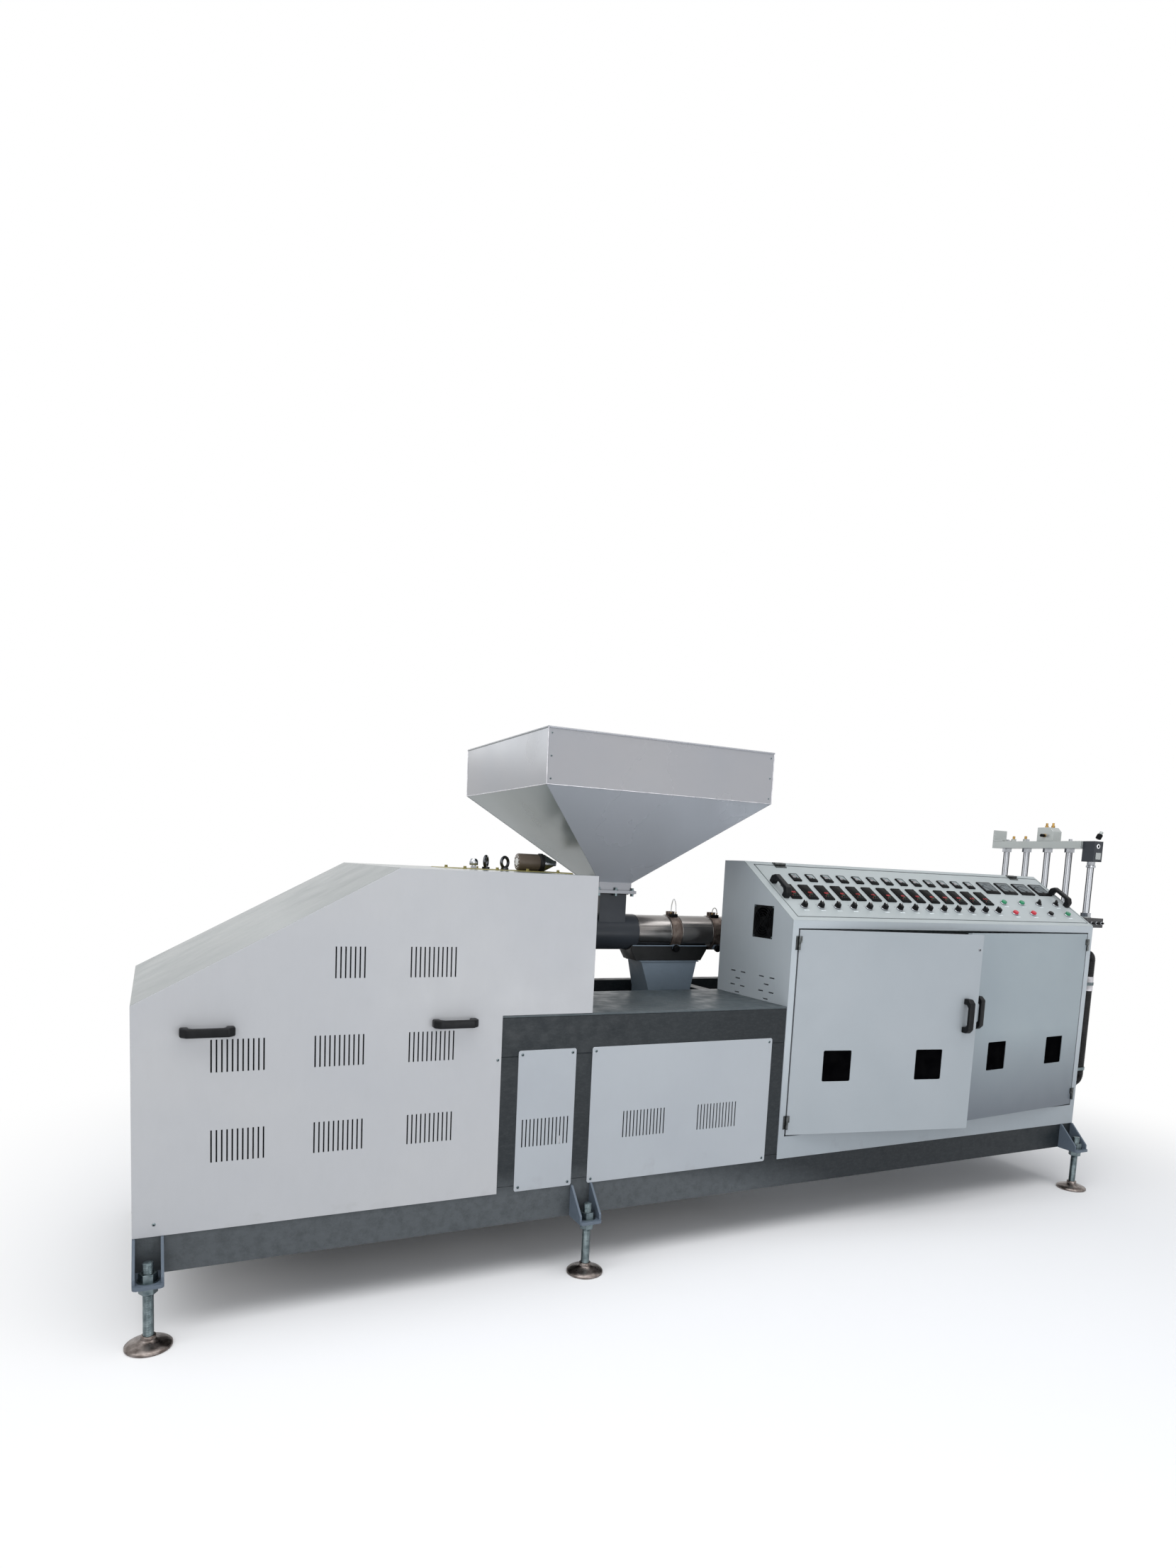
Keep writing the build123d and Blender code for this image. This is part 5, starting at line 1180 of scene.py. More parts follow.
def wire_loop(kit, x, top, tall):
    # Up from one post, over to the other and down to it, leaning a little on the way up.
    post_reach, post_side, post_rise, wire = 12 * MM, 27 * MM, 12 * MM, 2.2 * MM
    start = Vector((x - post_reach, AXIS_Y - post_side, top + post_rise))
    end = Vector((x + post_reach, AXIS_Y - post_side, top + post_rise))
    rise = Vector((0, 0, tall))
    lean = Vector((4, 6, 0)) * MM
    path = [start, start + rise * 0.6 + lean, (start + end) / 2 + rise, end + rise * 0.5, end]
    kit.wire("glass_fibre", path, wire)


def jacket_seams():
    # The heater covers' rolled ends and long seams.
    end_inset, end_bead, seam = 4 * MM, 1.6 * MM, 1.4 * MM
    seam_inset, seam_turns = 6 * MM, (25, 155)
    kit = Kit("jacket_trim")
    for low, high in islands("heater_jackets"):
        radius = (high.z - low.z) / 2
        for x in (low.x + end_inset, high.x - end_inset):
            kit.ring("jacket", radius, end_bead, facing_matrix((x, AXIS_Y, AXIS_Z), (1, 0, 0)), 48)
        for turn in seam_turns:
            reach = radius * math.cos(math.radians(turn))
            rise = radius * math.sin(math.radians(turn))
            place = Vector((low.x + seam_inset, AXIS_Y + reach, AXIS_Z + rise))
            end = place + Vector((high.x - low.x - 2 * seam_inset, 0, 0))
            rod_between(kit, "jacket", place, end, seam, 8)
    kit.done(smooth=60)


def duct_details():
    # Flange lips on the cowl, the duct and the blower, whose case is bolted all round.
    lip, cowl_lip, lip_height, thin, case_circle = 6 * MM, 7 * MM, 5 * MM, 4 * MM, 138 * MM
    duct_reach, flange_x, flange_y = 60 * MM, 112 * MM, 84 * MM
    kit = Kit("duct_trim")
    low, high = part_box("cooling_cowl")
    for side in (-1, 1):
        y = AXIS_Y + side * (high.y - low.y) / 2
        y0, y1 = sorted((y, y + side * cowl_lip))
        corner = (low.x + thin, y0, high.z - lip_height)
        kit.block("duct", corner, (high.x - thin, y1, high.z), bevel=1 * MM)
    low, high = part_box("cooling_duct")
    half = Vector(((high.x - low.x) / 2, duct_reach, 0))
    centre = middle((low, high))
    kit.block(
        "duct", (centre.x - half.x - lip, centre.y - half.y - lip, high.z - lip_height),
        (centre.x + half.x + lip, centre.y + half.y + lip, high.z), bevel=1 * MM,
    )
    kit.block(
        "duct", (centre.x - flange_x, centre.y - flange_y, low.z - thin),
        (centre.x + flange_x, centre.y + flange_y, low.z + thin), bevel=1 * MM,
    )
    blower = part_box("cooling_blower")
    shaft = Vector((middle(blower).x, blower[0].y, BLOWER_SHAFT))
    blower_guard(kit, shaft)
    kit.done()
    ways = [Vector((math.cos(turn), 0, math.sin(turn))) for turn in bolt_circle(8)]
    places = [(shaft + way * case_circle, Vector((0, -1, 0))) for way in ways]
    bolts("blower_bolts", places, 5 * MM)


def blower_guard(kit, shaft):
    # Wire rings and spokes over the blower's inlet.
    wire, ring_radii, spoke = 1.5 * MM, (60, 45, 30, 15), 62 * MM
    face = facing_matrix(shaft + Vector((0, 1 * MM, 0)), (0, -1, 0))
    for radius in ring_radii:
        kit.ring("chrome", radius * MM, wire, face, 40, 6)
    for index in range(3):
        turn = index * math.pi / 3
        reach = Vector((math.cos(turn), 0, math.sin(turn))) * spoke
        rod_between(kit, "chrome", shaft - reach, shaft + reach, wire, 6)


# Head
def head_details():
    # Nuts at both ends of the rods, rings at the outlets, heater ends and the flange's bolts.
    nut, nut_height, foot_washer, washer_height = 24 * MM, 20 * MM, 27 * MM, 5 * MM
    outlet_ring, ring_wire, outlet_bolt = 20.5 * MM, 2 * MM, 36 * MM
    heater_pitch, heater_end, heater_length, lead, lead_end = 38 * MM, 8 * MM, 12 * MM, 5 * MM, 22 * MM
    adapter_circle, adapter_flange = 78 * MM, 40 * MM
    kit = Kit("head_trim")
    low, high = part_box("head_manifold")
    places = []
    rods = islands("head_rods")
    for rod in rods:
        centre = middle(rod)
        foot = Matrix.Translation((centre.x, centre.y, high.z))
        kit.drum("plate", foot_washer, 0, washer_height, foot, 32, 1 * MM)
        kit.drum("chrome", nut, washer_height, washer_height + nut_height, foot, 6)
    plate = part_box("head_plate")
    for rod in rods[1:]:
        centre = middle(rod)
        under = Matrix.Translation((centre.x, centre.y, plate[0].z))
        kit.drum("chrome", nut, -nut_height, 0, under, 6)
        places.append((Vector((centre.x, centre.y, plate[1].z)), Vector((0, 0, 1))))
    outlets = islands("head_nozzles")
    for outlet in outlets:
        centre = middle(outlet)
        mouth = facing_matrix((high.x + ring_wire, centre.y, centre.z), (1, 0, 0))
        kit.ring("plate", outlet_ring, ring_wire, mouth, 32)
        for side in (-1, 1):
            spot = Vector((high.x, centre.y + side * outlet_bolt, centre.z))
            places.append((spot, Vector((1, 0, 0))))
    bar = Vector((middle((low, high)).x, 0, middle(outlets[-1]).z))
    for y, sign in ((low.y, -1), (high.y, 1)):
        for step in (-1, 0, 1):
            spot = facing_matrix((bar.x + step * heater_pitch, y, bar.z), (0, sign, 0))
            kit.drum("chrome", heater_end, 0, heater_length, spot, 20, 1 * MM)
            kit.drum("bezel", lead, heater_length, lead_end, spot, 16, 1 * MM)
    hub = Vector((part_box("head_adapter")[0].x + adapter_flange, AXIS_Y, AXIS_Z))
    for turn in bolt_circle(8):
        way = Vector((0, math.cos(turn), math.sin(turn))) * adapter_circle
        places.append((hub + way, Vector((1, 0, 0))))
    bolts("head_bolts", places, 9 * MM, finish="chrome")
    clamp_details(kit)
    valve_details(kit)
    kit.done()


def clamp_details(kit):
    # A ringed bore and a cover on the clamp's front, its collar and nut, and a knob on top.
    bore_shift, bore_drop, bore_ring, ring_wire, bore = 4 * MM, 26 * MM, 9 * MM, 3 * MM, 7 * MM
    cover_inset, cover_thickness, cover_foot, cover_top = 14 * MM, 3 * MM, 12 * MM, 46 * MM
    collar_drop, collar_radius, collar_height = 30 * MM, 23 * MM, 12 * MM
    nut, nut_gap, nut_top = 19 * MM, 2 * MM, 30 * MM
    knob_rise, knob_radius, knob_top, knob_way = 14 * MM, 14 * MM, 26 * MM, (0.4, -0.2, 1)
    cap_radius, cap_top = 9 * MM, 40 * MM
    low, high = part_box("rod_clamp")
    centre = middle((low, high))
    face = facing_matrix((centre.x - bore_shift, low.y, high.z - bore_drop), (0, -1, 0))
    kit.ring("white_print", bore_ring, ring_wire, face, 28)
    # The bore is a dark disc of painted shade.
    kit.drum("dark", bore, 0, 2 * MM, face, 20)
    corner = (low.x + cover_inset, low.y - cover_thickness, low.z + cover_foot)
    kit.block("plate", corner, (high.x - cover_inset, low.y, low.z + cover_top), bevel=1 * MM)
    collar = Matrix.Translation((centre.x, centre.y, low.z - collar_drop))
    kit.drum("chrome", collar_radius, 0, collar_height, collar, 24, 1.5 * MM)
    kit.drum("chrome", nut, collar_height + nut_gap, nut_top, collar, 6)
    knob = facing_matrix((high.x, centre.y, high.z + knob_rise), knob_way)
    kit.drum("bezel", knob_radius, 0, knob_top, knob, 20, 3 * MM)
    kit.drum("plate", cap_radius, knob_top, cap_top, knob, 16, 1 * MM)


def valve_details(kit):
    # Brass unions on the valve block and along the plate, clear of the block.
    clearance = 20 * MM
    union_nut, union_height, stem, stem_top = 9 * MM, 10 * MM, 6 * MM, 24 * MM
    side_rise, side_nut, side_height, plug, plug_top = 30 * MM, 10 * MM, 8 * MM, 8 * MM, 30 * MM
    plate_nut, plate_height, plate_stem, plate_top = 13 * MM, 14 * MM, 7 * MM, 30 * MM
    low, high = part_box("head_valve_block")
    centre = middle((low, high))
    for share in (0.3, 0.7):
        y = low.y + (high.y - low.y) * share
        place = Matrix.Translation((centre.x, y, high.z))
        kit.drum("brass", union_nut, 0, union_height, place, 6)
        kit.drum("brass", stem, union_height, stem_top, place, 16, 1 * MM)
    side = facing_matrix((low.x, centre.y, low.z + side_rise), (-1, 0, 0))
    kit.drum("brass", side_nut, 0, side_height, side, 6)
    kit.drum("bezel", plug, side_height, plug_top, side, 16, 1 * MM)
    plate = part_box("head_plate")
    for share in (0.32, 0.68, 0.82):
        y = plate[0].y + (plate[1].y - plate[0].y) * share
        if low.y - clearance < y < high.y + clearance:
            continue
        place = Matrix.Translation((centre.x, y, plate[1].z))
        kit.drum("plate", plate_nut, 0, plate_height, place, 6)
        kit.drum("brass", plate_stem, plate_height, plate_top, place, 16, 1 * MM)


# Control cabinet
def cabinet_details():
    # The fan's wire guard with its crossed spokes and hub, a dark box of painted shade behind it and four
    # screws.
    guard_gap, ring_radii, ring_wire = 3 * MM, (56, 46, 36, 26, 16), 1.2 * MM
    spoke, spoke_wire, corner_reach = 82 * MM, 1.4 * MM, 58 * MM
    hub_radius, hub_inset, hub_thickness, dark_depth = 21 * MM, 4 * MM, 2 * MM, 3 * MM
    low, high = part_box("cabinet_fan")
    centre = middle((low, high))
    guard = Vector((low.x - guard_gap, centre.y, centre.z))
    kit = Kit("fan_guard")
    for radius in ring_radii:
        kit.ring("bezel", radius * MM, ring_wire, facing_matrix(guard, (-1, 0, 0)), 40, 6)
    for degrees in (45, 135):
        turn = math.radians(degrees)
        reach = Vector((0, math.cos(turn), math.sin(turn))) * spoke
        rod_between(kit, "bezel", guard - reach, guard + reach, spoke_wire, 6)
    hub = facing_matrix((low.x + hub_inset, centre.y, centre.z), (-1, 0, 0))
    kit.drum("bezel", hub_radius, hub_inset, hub_inset + hub_thickness, hub, 28)
    # Painted shade inside the cabinet behind the fan.
    kit.block("dark", (high.x, low.y, low.z), (high.x + dark_depth, high.y, high.z))
    kit.done()
    places = []
    for sy in (-1, 1):
        for sz in (-1, 1):
            spot = Vector((low.x, centre.y + sy * corner_reach, centre.z + sz * corner_reach))
            places.append((spot, Vector((-1, 0, 0))))
    screws("fan_screws", places, 4 * MM)


def door_details():
    # A dark sheet of painted shade behind each door's vents and a round lock near its free upper corner.
    side_margin, shade_sheet_bottom, shade_sheet_top = 60 * MM, 190 * MM, 350 * MM
    shade_sheet_depth, shade_sheet_thickness = 4 * MM, 3 * MM
    lock_inset, lock_drop, lock, lock_rise = 16 * MM, 60 * MM, 6 * MM, 2.5 * MM
    keyhole, keyhole_rise = 3 * MM, 2.9 * MM
    for body in ("left_door", "right_door"):
        frame_matrix = door_matrix(body)
        low, high = islands(body, frame_matrix)[0]
        kit = Kit(f"{body}_trim", body)
        inner = low.y + shade_sheet_depth
        corner = (low.x + side_margin, inner, low.z + shade_sheet_bottom)
        opposite = (high.x - side_margin, inner + shade_sheet_thickness, low.z + shade_sheet_top)
        # Painted shade behind the vents.
        kit.block("dark", corner, opposite, frame_matrix)
        edge = high.x - lock_inset if body == "left_door" else low.x + lock_inset
        place = frame_matrix @ facing_matrix((edge, low.y, high.z - lock_drop), (0, -1, 0))
        kit.drum("chrome", lock, 0, lock_rise, place, 20, 0.6 * MM)
        # The keyhole is a dark disc of painted shade.
        kit.drum("dark", keyhole, lock_rise, keyhole_rise, place, 12)
        kit.done()


def door_matrix(body):
    # Turns a closed door's axes to where the door stands at rest, about its hinge pin.
    for joint in frame["record"]["behaviour"]["joints"]:
        if joint["child"] == body:
            pin = Vector(joint["pos_m"])
            axis = Vector(joint["axis"])
            turn = -math.radians(joint["range_deg"][0])
            return Matrix.Translation(pin) @ Matrix.Rotation(turn, 4, axis) @ Matrix.Translation(-pin)
    return Matrix()


def conduit_path():
    # Out of the cabinet's side, down it and back in, with rounded corners.
    low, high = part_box("conduit")
    radius = (high.y - low.y) / 2
    y = middle((low, high)).y
    outer, top, bottom = high.x - radius, high.z - radius, low.z + radius
    bend = 30 * MM
    hold = bend * QUARTER_HANDLE
    curve = bpy.data.curves.new("conduit_path", "CURVE")
    curve.dimensions = "3D"
    spline = curve.splines.new("BEZIER")
    spline.bezier_points.add(5)
    stops = [
        ((low.x, y, top), (-hold, 0, 0), (hold, 0, 0)),
        ((outer - bend, y, top), (-hold, 0, 0), (hold, 0, 0)),
        ((outer, y, top - bend), (0, 0, hold), (0, 0, -hold)),
        ((outer, y, bottom + bend), (0, 0, hold), (0, 0, -hold)),
        ((outer - bend, y, bottom), (hold, 0, 0), (-hold, 0, 0)),
        ((low.x, y, bottom), (hold, 0, 0), (-hold, 0, 0)),
    ]
    for point, (place, before, after) in zip(spline.bezier_points, stops):
        point.co = place
        point.handle_left = Vector(place) + Vector(before)
        point.handle_right = Vector(place) + Vector(after)
    return curve, radius


def conduit_details():
    # The waved tube, a gland at each end, the clips' screws and tape under the upper clip.
    wave, pitch, tape_reach, tape_thickness = 1.2 * MM, 6 * MM, 33 * MM, 0.25 * MM
    nut_proud, nut_height, gland_proud, gland_end = 7 * MM, 6 * MM, 3 * MM, 14 * MM
    screw_inset, screw_drop = 2 * MM, 6 * MM
    curve, radius = conduit_path()
    tube = grown(
        "corrugated_conduit", TREES["corrugated"], curve, Radius=radius - wave, Depth=wave, Pitch=pitch,
        Finish=FINISHES["rubber"], smooth=60,
    )
    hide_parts("conduit")
    kit = Kit("conduit_glands")
    low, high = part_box("conduit")
    y = middle((low, high)).y
    for z in (high.z - radius, low.z + radius):
        face = facing_matrix((low.x, y, z), (1, 0, 0))
        kit.drum("bezel", radius + nut_proud, 0, nut_height, face, 6)
        kit.drum("bezel", radius + gland_proud, nut_height, gland_end, face, 24, 1 * MM)
    clips = islands("conduit_clips")
    places = []
    for clip in clips:
        foot = Vector((clip[0].x + screw_inset, clip[1].y - screw_drop, middle(clip).z))
        places.append((foot, Vector((1, 0, 0))))
    wrap = Matrix.Translation((high.x - radius, y, max(middle(clip).z for clip in clips)))
    kit.drum("tape", radius + tape_thickness, -tape_reach, tape_reach, wrap, 32)
    kit.done()
    screws("clip_screws", places, 4 * MM)


# Instruments on the desk. The desk's own axes are X across, Y up the slope and Z out of it.
def instrument_windows():
    # A dark window with a red number over a green one, three lamps and a row of keys.
    margin, lift, first_reading, reading_step = 4 * MM, 0.5 * MM, 150, 5
    # A number's middle above the controller's foot, its width and the height of its figures
    red_number, green_number = (40 * MM, 25 * MM, 8.5 * MM), (28 * MM, 18 * MM, 6 * MM)
    first_key, key_pitch, half_key, key_rise = 9 * MM, 10 * MM, 3 * MM, 1.5 * MM
    key_foot, key_top = 10 * MM, 15 * MM
    first_lamp, lamp_pitch, lamp_place, lamp, lamp_rise = 12 * MM, 12 * MM, 20 * MM, 1.6 * MM, 0.6 * MM
    kit = Kit("controller", "instrument_lid")
    for index, (low, high) in enumerate(islands("temperature_controllers", DESK)):
        face = high.z
        corner = (low.x + margin, low.y + margin, face - 1 * MM)
        kit.block("window", corner, (high.x - margin, high.y - margin, face + lift), DESK, bevel=0.4 * MM)
        centre = (low.x + high.x) / 2
        number = f"{first_reading + reading_step * index:03d}"
        for finish, (rise, width, height) in (("red_display", red_number), ("green_display", green_number)):
            digits(kit, finish, number, centre, low.y + rise, width, height, face + lift)
        for key in range(4):
            x = low.x + first_key + key * key_pitch
            corner = (x - half_key, low.y + key_foot, face)
            kit.block("key_grey", corner, (x + half_key, low.y + key_top, face + key_rise), DESK)
        for light in range(3):
            spot = (low.x + first_lamp + light * lamp_pitch, low.y + lamp_place, face + lift)
            finish = "red_display" if light == 0 else "key_grey"
            kit.drum(finish, lamp, 0, lamp_rise, DESK @ Matrix.Translation(spot), 12)
    kit.done()


def digits(kit, finish, number, centre, rise, width, height, face):
    # Seven-segment figures, drawn as thin bars.
    step = width / len(number)
    half = step * 0.32
    thick = height * 0.09
    top, bottom = rise + height / 2, rise - height / 2
    for place, figure in enumerate(number):
        x = centre - width / 2 + step * (place + 0.5)
        left, right = x - half, x + half
        bars = {
            "a": (left, top - thick, right, top + thick),
            "g": (left, rise - thick, right, rise + thick),
            "d": (left, bottom - thick, right, bottom + thick),
            "f": (left - thick, rise, left + thick, top),
            "b": (right - thick, rise, right + thick, top),
            "e": (left - thick, bottom, left + thick, rise),
            "c": (right - thick, bottom, right + thick, rise),
        }
        for bar in SEGMENTS[figure]:
            x0, y0, x1, y1 = bars[bar]
            kit.block(finish, (x0, y0, face), (x1, y1, face + 0.3 * MM), DESK)


def meter_faces():
    # A dial with ticks and a needle over a black band. The large meters have finer ticks.
    # The shares are of the meter's width, apart from the band's, which is of its height.
    large_width, print_rise, band_rise = 60 * MM, 0.3 * MM, 1.2 * MM
    pivot_share, hub_share, line_share, hub_rise = 0.02, 0.06, 0.008, 1.4 * MM
    scale_start, scale_span, needle_turn = 135, 90, 128  # degrees
    kit = Kit("meter", "instrument_lid")
    for low, high in islands("panel_meters", DESK):
        width = high.x - low.x
        big = width > large_width
        face = high.z
        rim = width * (0.08 if big else 0.15)
        band = (high.y - low.y) * (0.2 if big else 0.34)
        left, right, top, split = low.x + rim, high.x - rim, high.y - rim, low.y + band
        dial = "meter_dial" if big else "dial"
        kit.block(dial, (left, split, face - 1 * MM), (right, top, face + print_rise), DESK)
        kit.block("bezel", (left, low.y + rim, face), (right, split, face + band_rise), DESK, bevel=0.4 * MM)
        foot = low.y + band + width * pivot_share
        pivot = Vector(((low.x + high.x) / 2, foot, face + print_rise))
        reach = (high.y - rim - pivot.y) * 0.82
        steps = 10 if big else 6
        line = width * line_share
        for tick in range(steps + 1):
            turn = math.radians(scale_start - scale_span * tick / steps)
            way = Vector((math.cos(turn), math.sin(turn), 0))
            start = pivot + way * reach * (0.8 if tick % 5 == 0 else 0.88)
            needle_bar(kit, "dark", start, pivot + way * reach, line)
        turn = math.radians(needle_turn)
        tip = pivot + Vector((math.cos(turn), math.sin(turn), 0)) * reach * 0.9
        needle_bar(kit, "dark" if big else "red_cap", pivot, tip, line)
        kit.drum("bezel", width * hub_share, 0, hub_rise, DESK @ Matrix.Translation(pivot), 16)
    kit.done()


def needle_bar(kit, finish, start, end, half_width):
    way = end - start
    turn = Matrix.Rotation(math.atan2(way.y, way.x), 4, "Z")
    place = DESK @ Matrix.Translation(start) @ turn
    kit.block(finish, (0, -half_width, 0), (way.length, half_width, 0.5 * MM), place)


def blank_label(kit, centre, lower, upper):
    # A blank plate below a switch, between two distances from its centre.
    half_width, thickness = 12 * MM, 0.5 * MM
    corner = (centre.x - half_width, centre.y - lower, 0)
    kit.block("label", corner, (centre.x + half_width, centre.y - upper, thickness), DESK)


def knob_shapes():
    # A silver collar with a black grip across it, two printed dots above and a label below.
    collar, collar_height, collar_edge = 15 * MM, 5 * MM, 1.2 * MM
    skirt, skirt_top = 13 * MM, 12 * MM
    grip_turn, grip_low, grip_high = -18, Vector((-6.5, -13.5, 11)) * MM, Vector((6.5, 13.5, 23)) * MM
    line_low, line_high = (-0.8 * MM, 3 * MM, 22.6 * MM), (0.8 * MM, 12 * MM, 23.3 * MM)
    dot, dot_circle, dot_turn, dot_rise = 1.4 * MM, 21 * MM, 40, 0.3 * MM
    label_lower, label_upper = 26 * MM, 20 * MM
    kit = Kit("selector", "instrument_lid")
    for low, high in islands("selector_knobs", DESK):
        centre = middle((low, high))
        base = DESK @ Matrix.Translation((centre.x, centre.y, 0))
        kit.drum("chrome", collar, 0, collar_height, base, 32, collar_edge)
        kit.drum("knob", skirt, collar_height, skirt_top, base, 28, 1 * MM)
        turned = base @ Matrix.Rotation(math.radians(grip_turn), 4, "Z")
        kit.block("knob", grip_low, grip_high, turned, bevel=2 * MM)
        kit.block("white_print", line_low, line_high, turned)
        for turn in (-dot_turn, dot_turn):
            way = math.radians(90 + turn)
            spot = (centre.x + dot_circle * math.cos(way), centre.y + dot_circle * math.sin(way), 0)
            kit.drum("dark", dot, 0, dot_rise, DESK @ Matrix.Translation(Vector(spot)), 8)
        blank_label(kit, centre, label_lower, label_upper)
    pieces = kit.done()
    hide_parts("selector_knobs")


def button_shapes():
    # Two rows of four: lit caps above and below, a lever pair and a black cap.
    collar, collar_height, collar_edge = 15.5 * MM, 5 * MM, 1.5 * MM
    skirt, skirt_top, lever_turn = 12.5 * MM, 9 * MM, -35
    lever_low, lever_high = (-4 * MM, -9 * MM, 8 * MM), (4 * MM, 19 * MM, 20 * MM)
    cap_radius, cap_shoulder, cap_crown, crown_height = 12 * MM, 12 * MM, 10 * MM, 14 * MM
    cap_top = 14.6 * MM
    label_lower, label_upper = 27 * MM, 21 * MM
    kit = Kit("button", "instrument_lid")
    buttons = islands("push_buttons", DESK)
    rows = sorted({round(middle(button).y, 3) for button in buttons})
    columns = sorted({round(middle(button).x, 3) for button in buttons})
    caps = [("red_cap", "red_cap", "knob", "green_cap"), ("green_cap", "green_cap", "lever", "lever")]
    for button in buttons:
        centre = middle(button)
        cap = caps[rows.index(round(centre.y, 3))][columns.index(round(centre.x, 3))]
        base = DESK @ Matrix.Translation((centre.x, centre.y, 0))
        kit.drum("chrome", collar, 0, collar_height, base, 32, collar_edge)
        if cap == "lever":
            kit.drum("knob", skirt, collar_height, skirt_top, base, 28, 1 * MM)
            turned = base @ Matrix.Rotation(math.radians(lever_turn), 4, "Z")
            kit.block("knob", lever_low, lever_high, turned, bevel=2 * MM)
        else:
            profile = [(0, collar_height), (cap_radius, collar_height), (cap_radius, cap_shoulder)]
            profile += [(cap_crown, crown_height), (0, cap_top)]
            kit.lathe(cap, profile, base, 28)
        blank_label(kit, centre, label_lower, label_upper)
    pieces = kit.done()
    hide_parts("push_buttons")


# Stage, lights and camera
def seen_directly(nodes, links):
    # One for what the camera, a mirror or a clear pane sees, nought for light on the object.
    rays = nodes.new("ShaderNodeLightPath").outputs
    seen = rays["Is Camera Ray"]
    for kind in ("Is Glossy Ray", "Is Transmission Ray"):
        either = nodes.new("ShaderNodeMath")
        either.operation = "MAXIMUM"
        links.new(seen, either.inputs[0])
        links.new(rays[kind], either.inputs[1])
        seen = either.outputs["Value"]
    return seen


def floor_material():
    # Lit near the machine, so that it keeps the shadow, and plain white further out.
    fade_start, fade_end = 1.6, 3.6  # metres from the machine's middle
    material = bpy.data.materials.new("studio_floor")
    material.use_nodes = True
    nodes, links = material.node_tree.nodes, material.node_tree.links
    lit = nodes["Principled BSDF"]
    lit.inputs["Base Color"].default_value = (0.86, 0.86, 0.87, 1)
    lit.inputs["Roughness"].default_value = 0.9
    lit.inputs["Specular IOR Level"].default_value = 0.1
    white = nodes.new("ShaderNodeEmission")
    length = nodes.new("ShaderNodeVectorMath")
    length.operation = "LENGTH"
    links.new(nodes.new("ShaderNodeTexCoord").outputs["Object"], length.inputs[0])
    fade = nodes.new("ShaderNodeMapRange")
    fade.interpolation_type = "SMOOTHSTEP"
    fade.inputs["From Min"].default_value = fade_start
    fade.inputs["From Max"].default_value = fade_end
    links.new(length.outputs["Value"], fade.inputs["Value"])
    share = nodes.new("ShaderNodeMath")
    share.operation = "MULTIPLY"
    links.new(fade.outputs["Result"], share.inputs[0])
    links.new(seen_directly(nodes, links), share.inputs[1])
    mix = nodes.new("ShaderNodeMixShader")
    links.new(share.outputs["Value"], mix.inputs["Fac"])
    links.new(lit.outputs["BSDF"], mix.inputs[1])
    links.new(white.outputs["Emission"], mix.inputs[2])
    links.new(mix.outputs["Shader"], nodes["Material Output"].inputs["Surface"])
    return material


def make_stage():
    bpy.ops.mesh.primitive_plane_add(size=FLOOR_SIZE, location=(0, 0, 0))
    floor = bpy.context.object
    floor.name = "studio_floor"
    floor.data.materials.append(floor_material())


def make_world():
    # The room's soft light on the object, and plain white wherever it is seen directly.
    world = bpy.data.worlds.new("studio")
    bpy.context.scene.world = world
    world.use_nodes = True
    nodes, links = world.node_tree.nodes, world.node_tree.links
    room = nodes["Background"]
    room.inputs["Color"].default_value = ROOM_COLOUR
    room.inputs["Strength"].default_value = ROOM_STRENGTH
    white = nodes.new("ShaderNodeBackground")
    white.inputs["Color"].default_value = (1, 1, 1, 1)
    white.inputs["Strength"].default_value = 1.0
    mix = nodes.new("ShaderNodeMixShader")
    links.new(seen_directly(nodes, links), mix.inputs["Fac"])
    links.new(room.outputs["Background"], mix.inputs[1])
    links.new(white.outputs["Background"], mix.inputs[2])
    links.new(mix.outputs["Shader"], nodes["World Output"].inputs["Surface"])


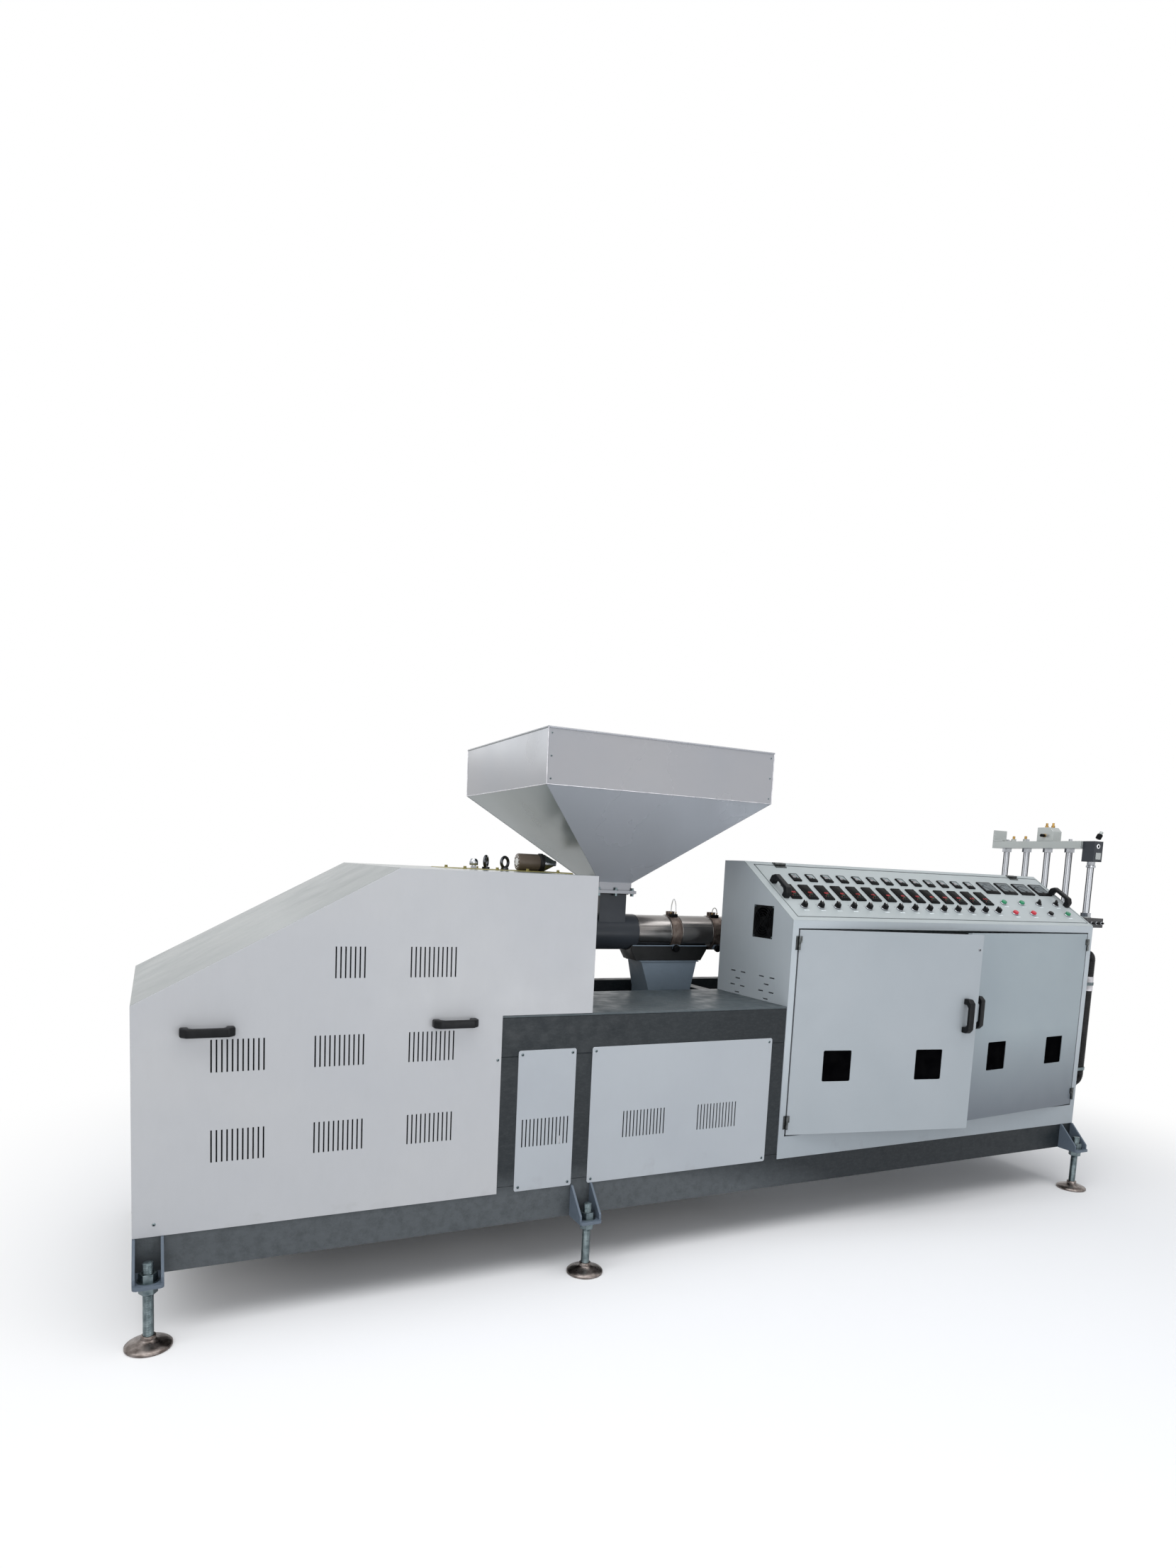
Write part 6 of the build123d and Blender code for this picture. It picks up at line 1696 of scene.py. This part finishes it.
def area_lamp(name, place, target, size, watts, colour=(1, 1, 1)):
    lamp = bpy.data.lights.new(name, "AREA")
    lamp.shape = "RECTANGLE"
    lamp.size, lamp.size_y = size
    lamp.energy = watts
    lamp.color = colour
    holder = bpy.data.objects.new(name, lamp)
    holder.location = place
    holder.rotation_euler = (Vector(target) - Vector(place)).to_track_quat("-Z", "Y").to_euler()
    bpy.context.scene.collection.objects.link(holder)


def make_lamps():
    area_lamp("ceiling_lights", (-0.5, -1.5, 5.5), (0, 0, 0.8), (7.0, 4.0), 195, (1.0, 1.0, 1.0))
    area_lamp("window_left", (-5.6, -2.0, 4.6), (-1.0, 0, 1.2), (4.0, 3.0), 90, (0.97, 0.99, 1.0))
    area_lamp("far_window", (-2.9, 4.6, 2.72), (-1.0, 0.2, 1.75), (1.9, 0.8), 9, (0.96, 0.99, 1.0))
    area_lamp("front_fill", (-2.6, -6.0, 2.4), (0.2, 0, 0.9), (5.0, 3.0), 84, (1.0, 0.99, 0.99))
    area_lamp("low_fill", (0.6, -5.2, 0.4), (-0.5, 0, 1.6), (2.4, 0.6), 42, (0.94, 0.97, 1.0))


def make_camera():
    lens = bpy.data.cameras.new("photo_camera")
    lens.sensor_width = SENSOR_WIDTH
    lens.sensor_fit = "AUTO"
    lens.lens = FOCAL_LENGTH
    lens.shift_x, lens.shift_y = LENS_SHIFT
    camera = bpy.data.objects.new("photo_camera", lens)
    camera.location = CAMERA_PLACE
    camera.rotation_euler = [math.radians(turn) for turn in CAMERA_TURNS]
    bpy.context.scene.collection.objects.link(camera)
    bpy.context.scene.camera = camera


TREES = {"bolt": bolt_tree(), "screw": screw_tree(), "corrugated": corrugated_tree()}

dress_nodes()
vent_panel_screws()
slot_backing()
foot_threads()
foot_domes()
foot_washers()
housing_details()
handle_screws()
gearbox_details()
breather()
filter_details()
feed_details()
hopper_details()
barrel_details()
jacket_seams()
duct_details()
head_details()
cabinet_details()
door_details()
conduit_details()
instrument_windows()
meter_faces()
knob_shapes()
button_shapes()

make_camera()
make_world()
make_lamps()
make_stage()
bpy.context.scene.view_settings.view_transform = "Standard"
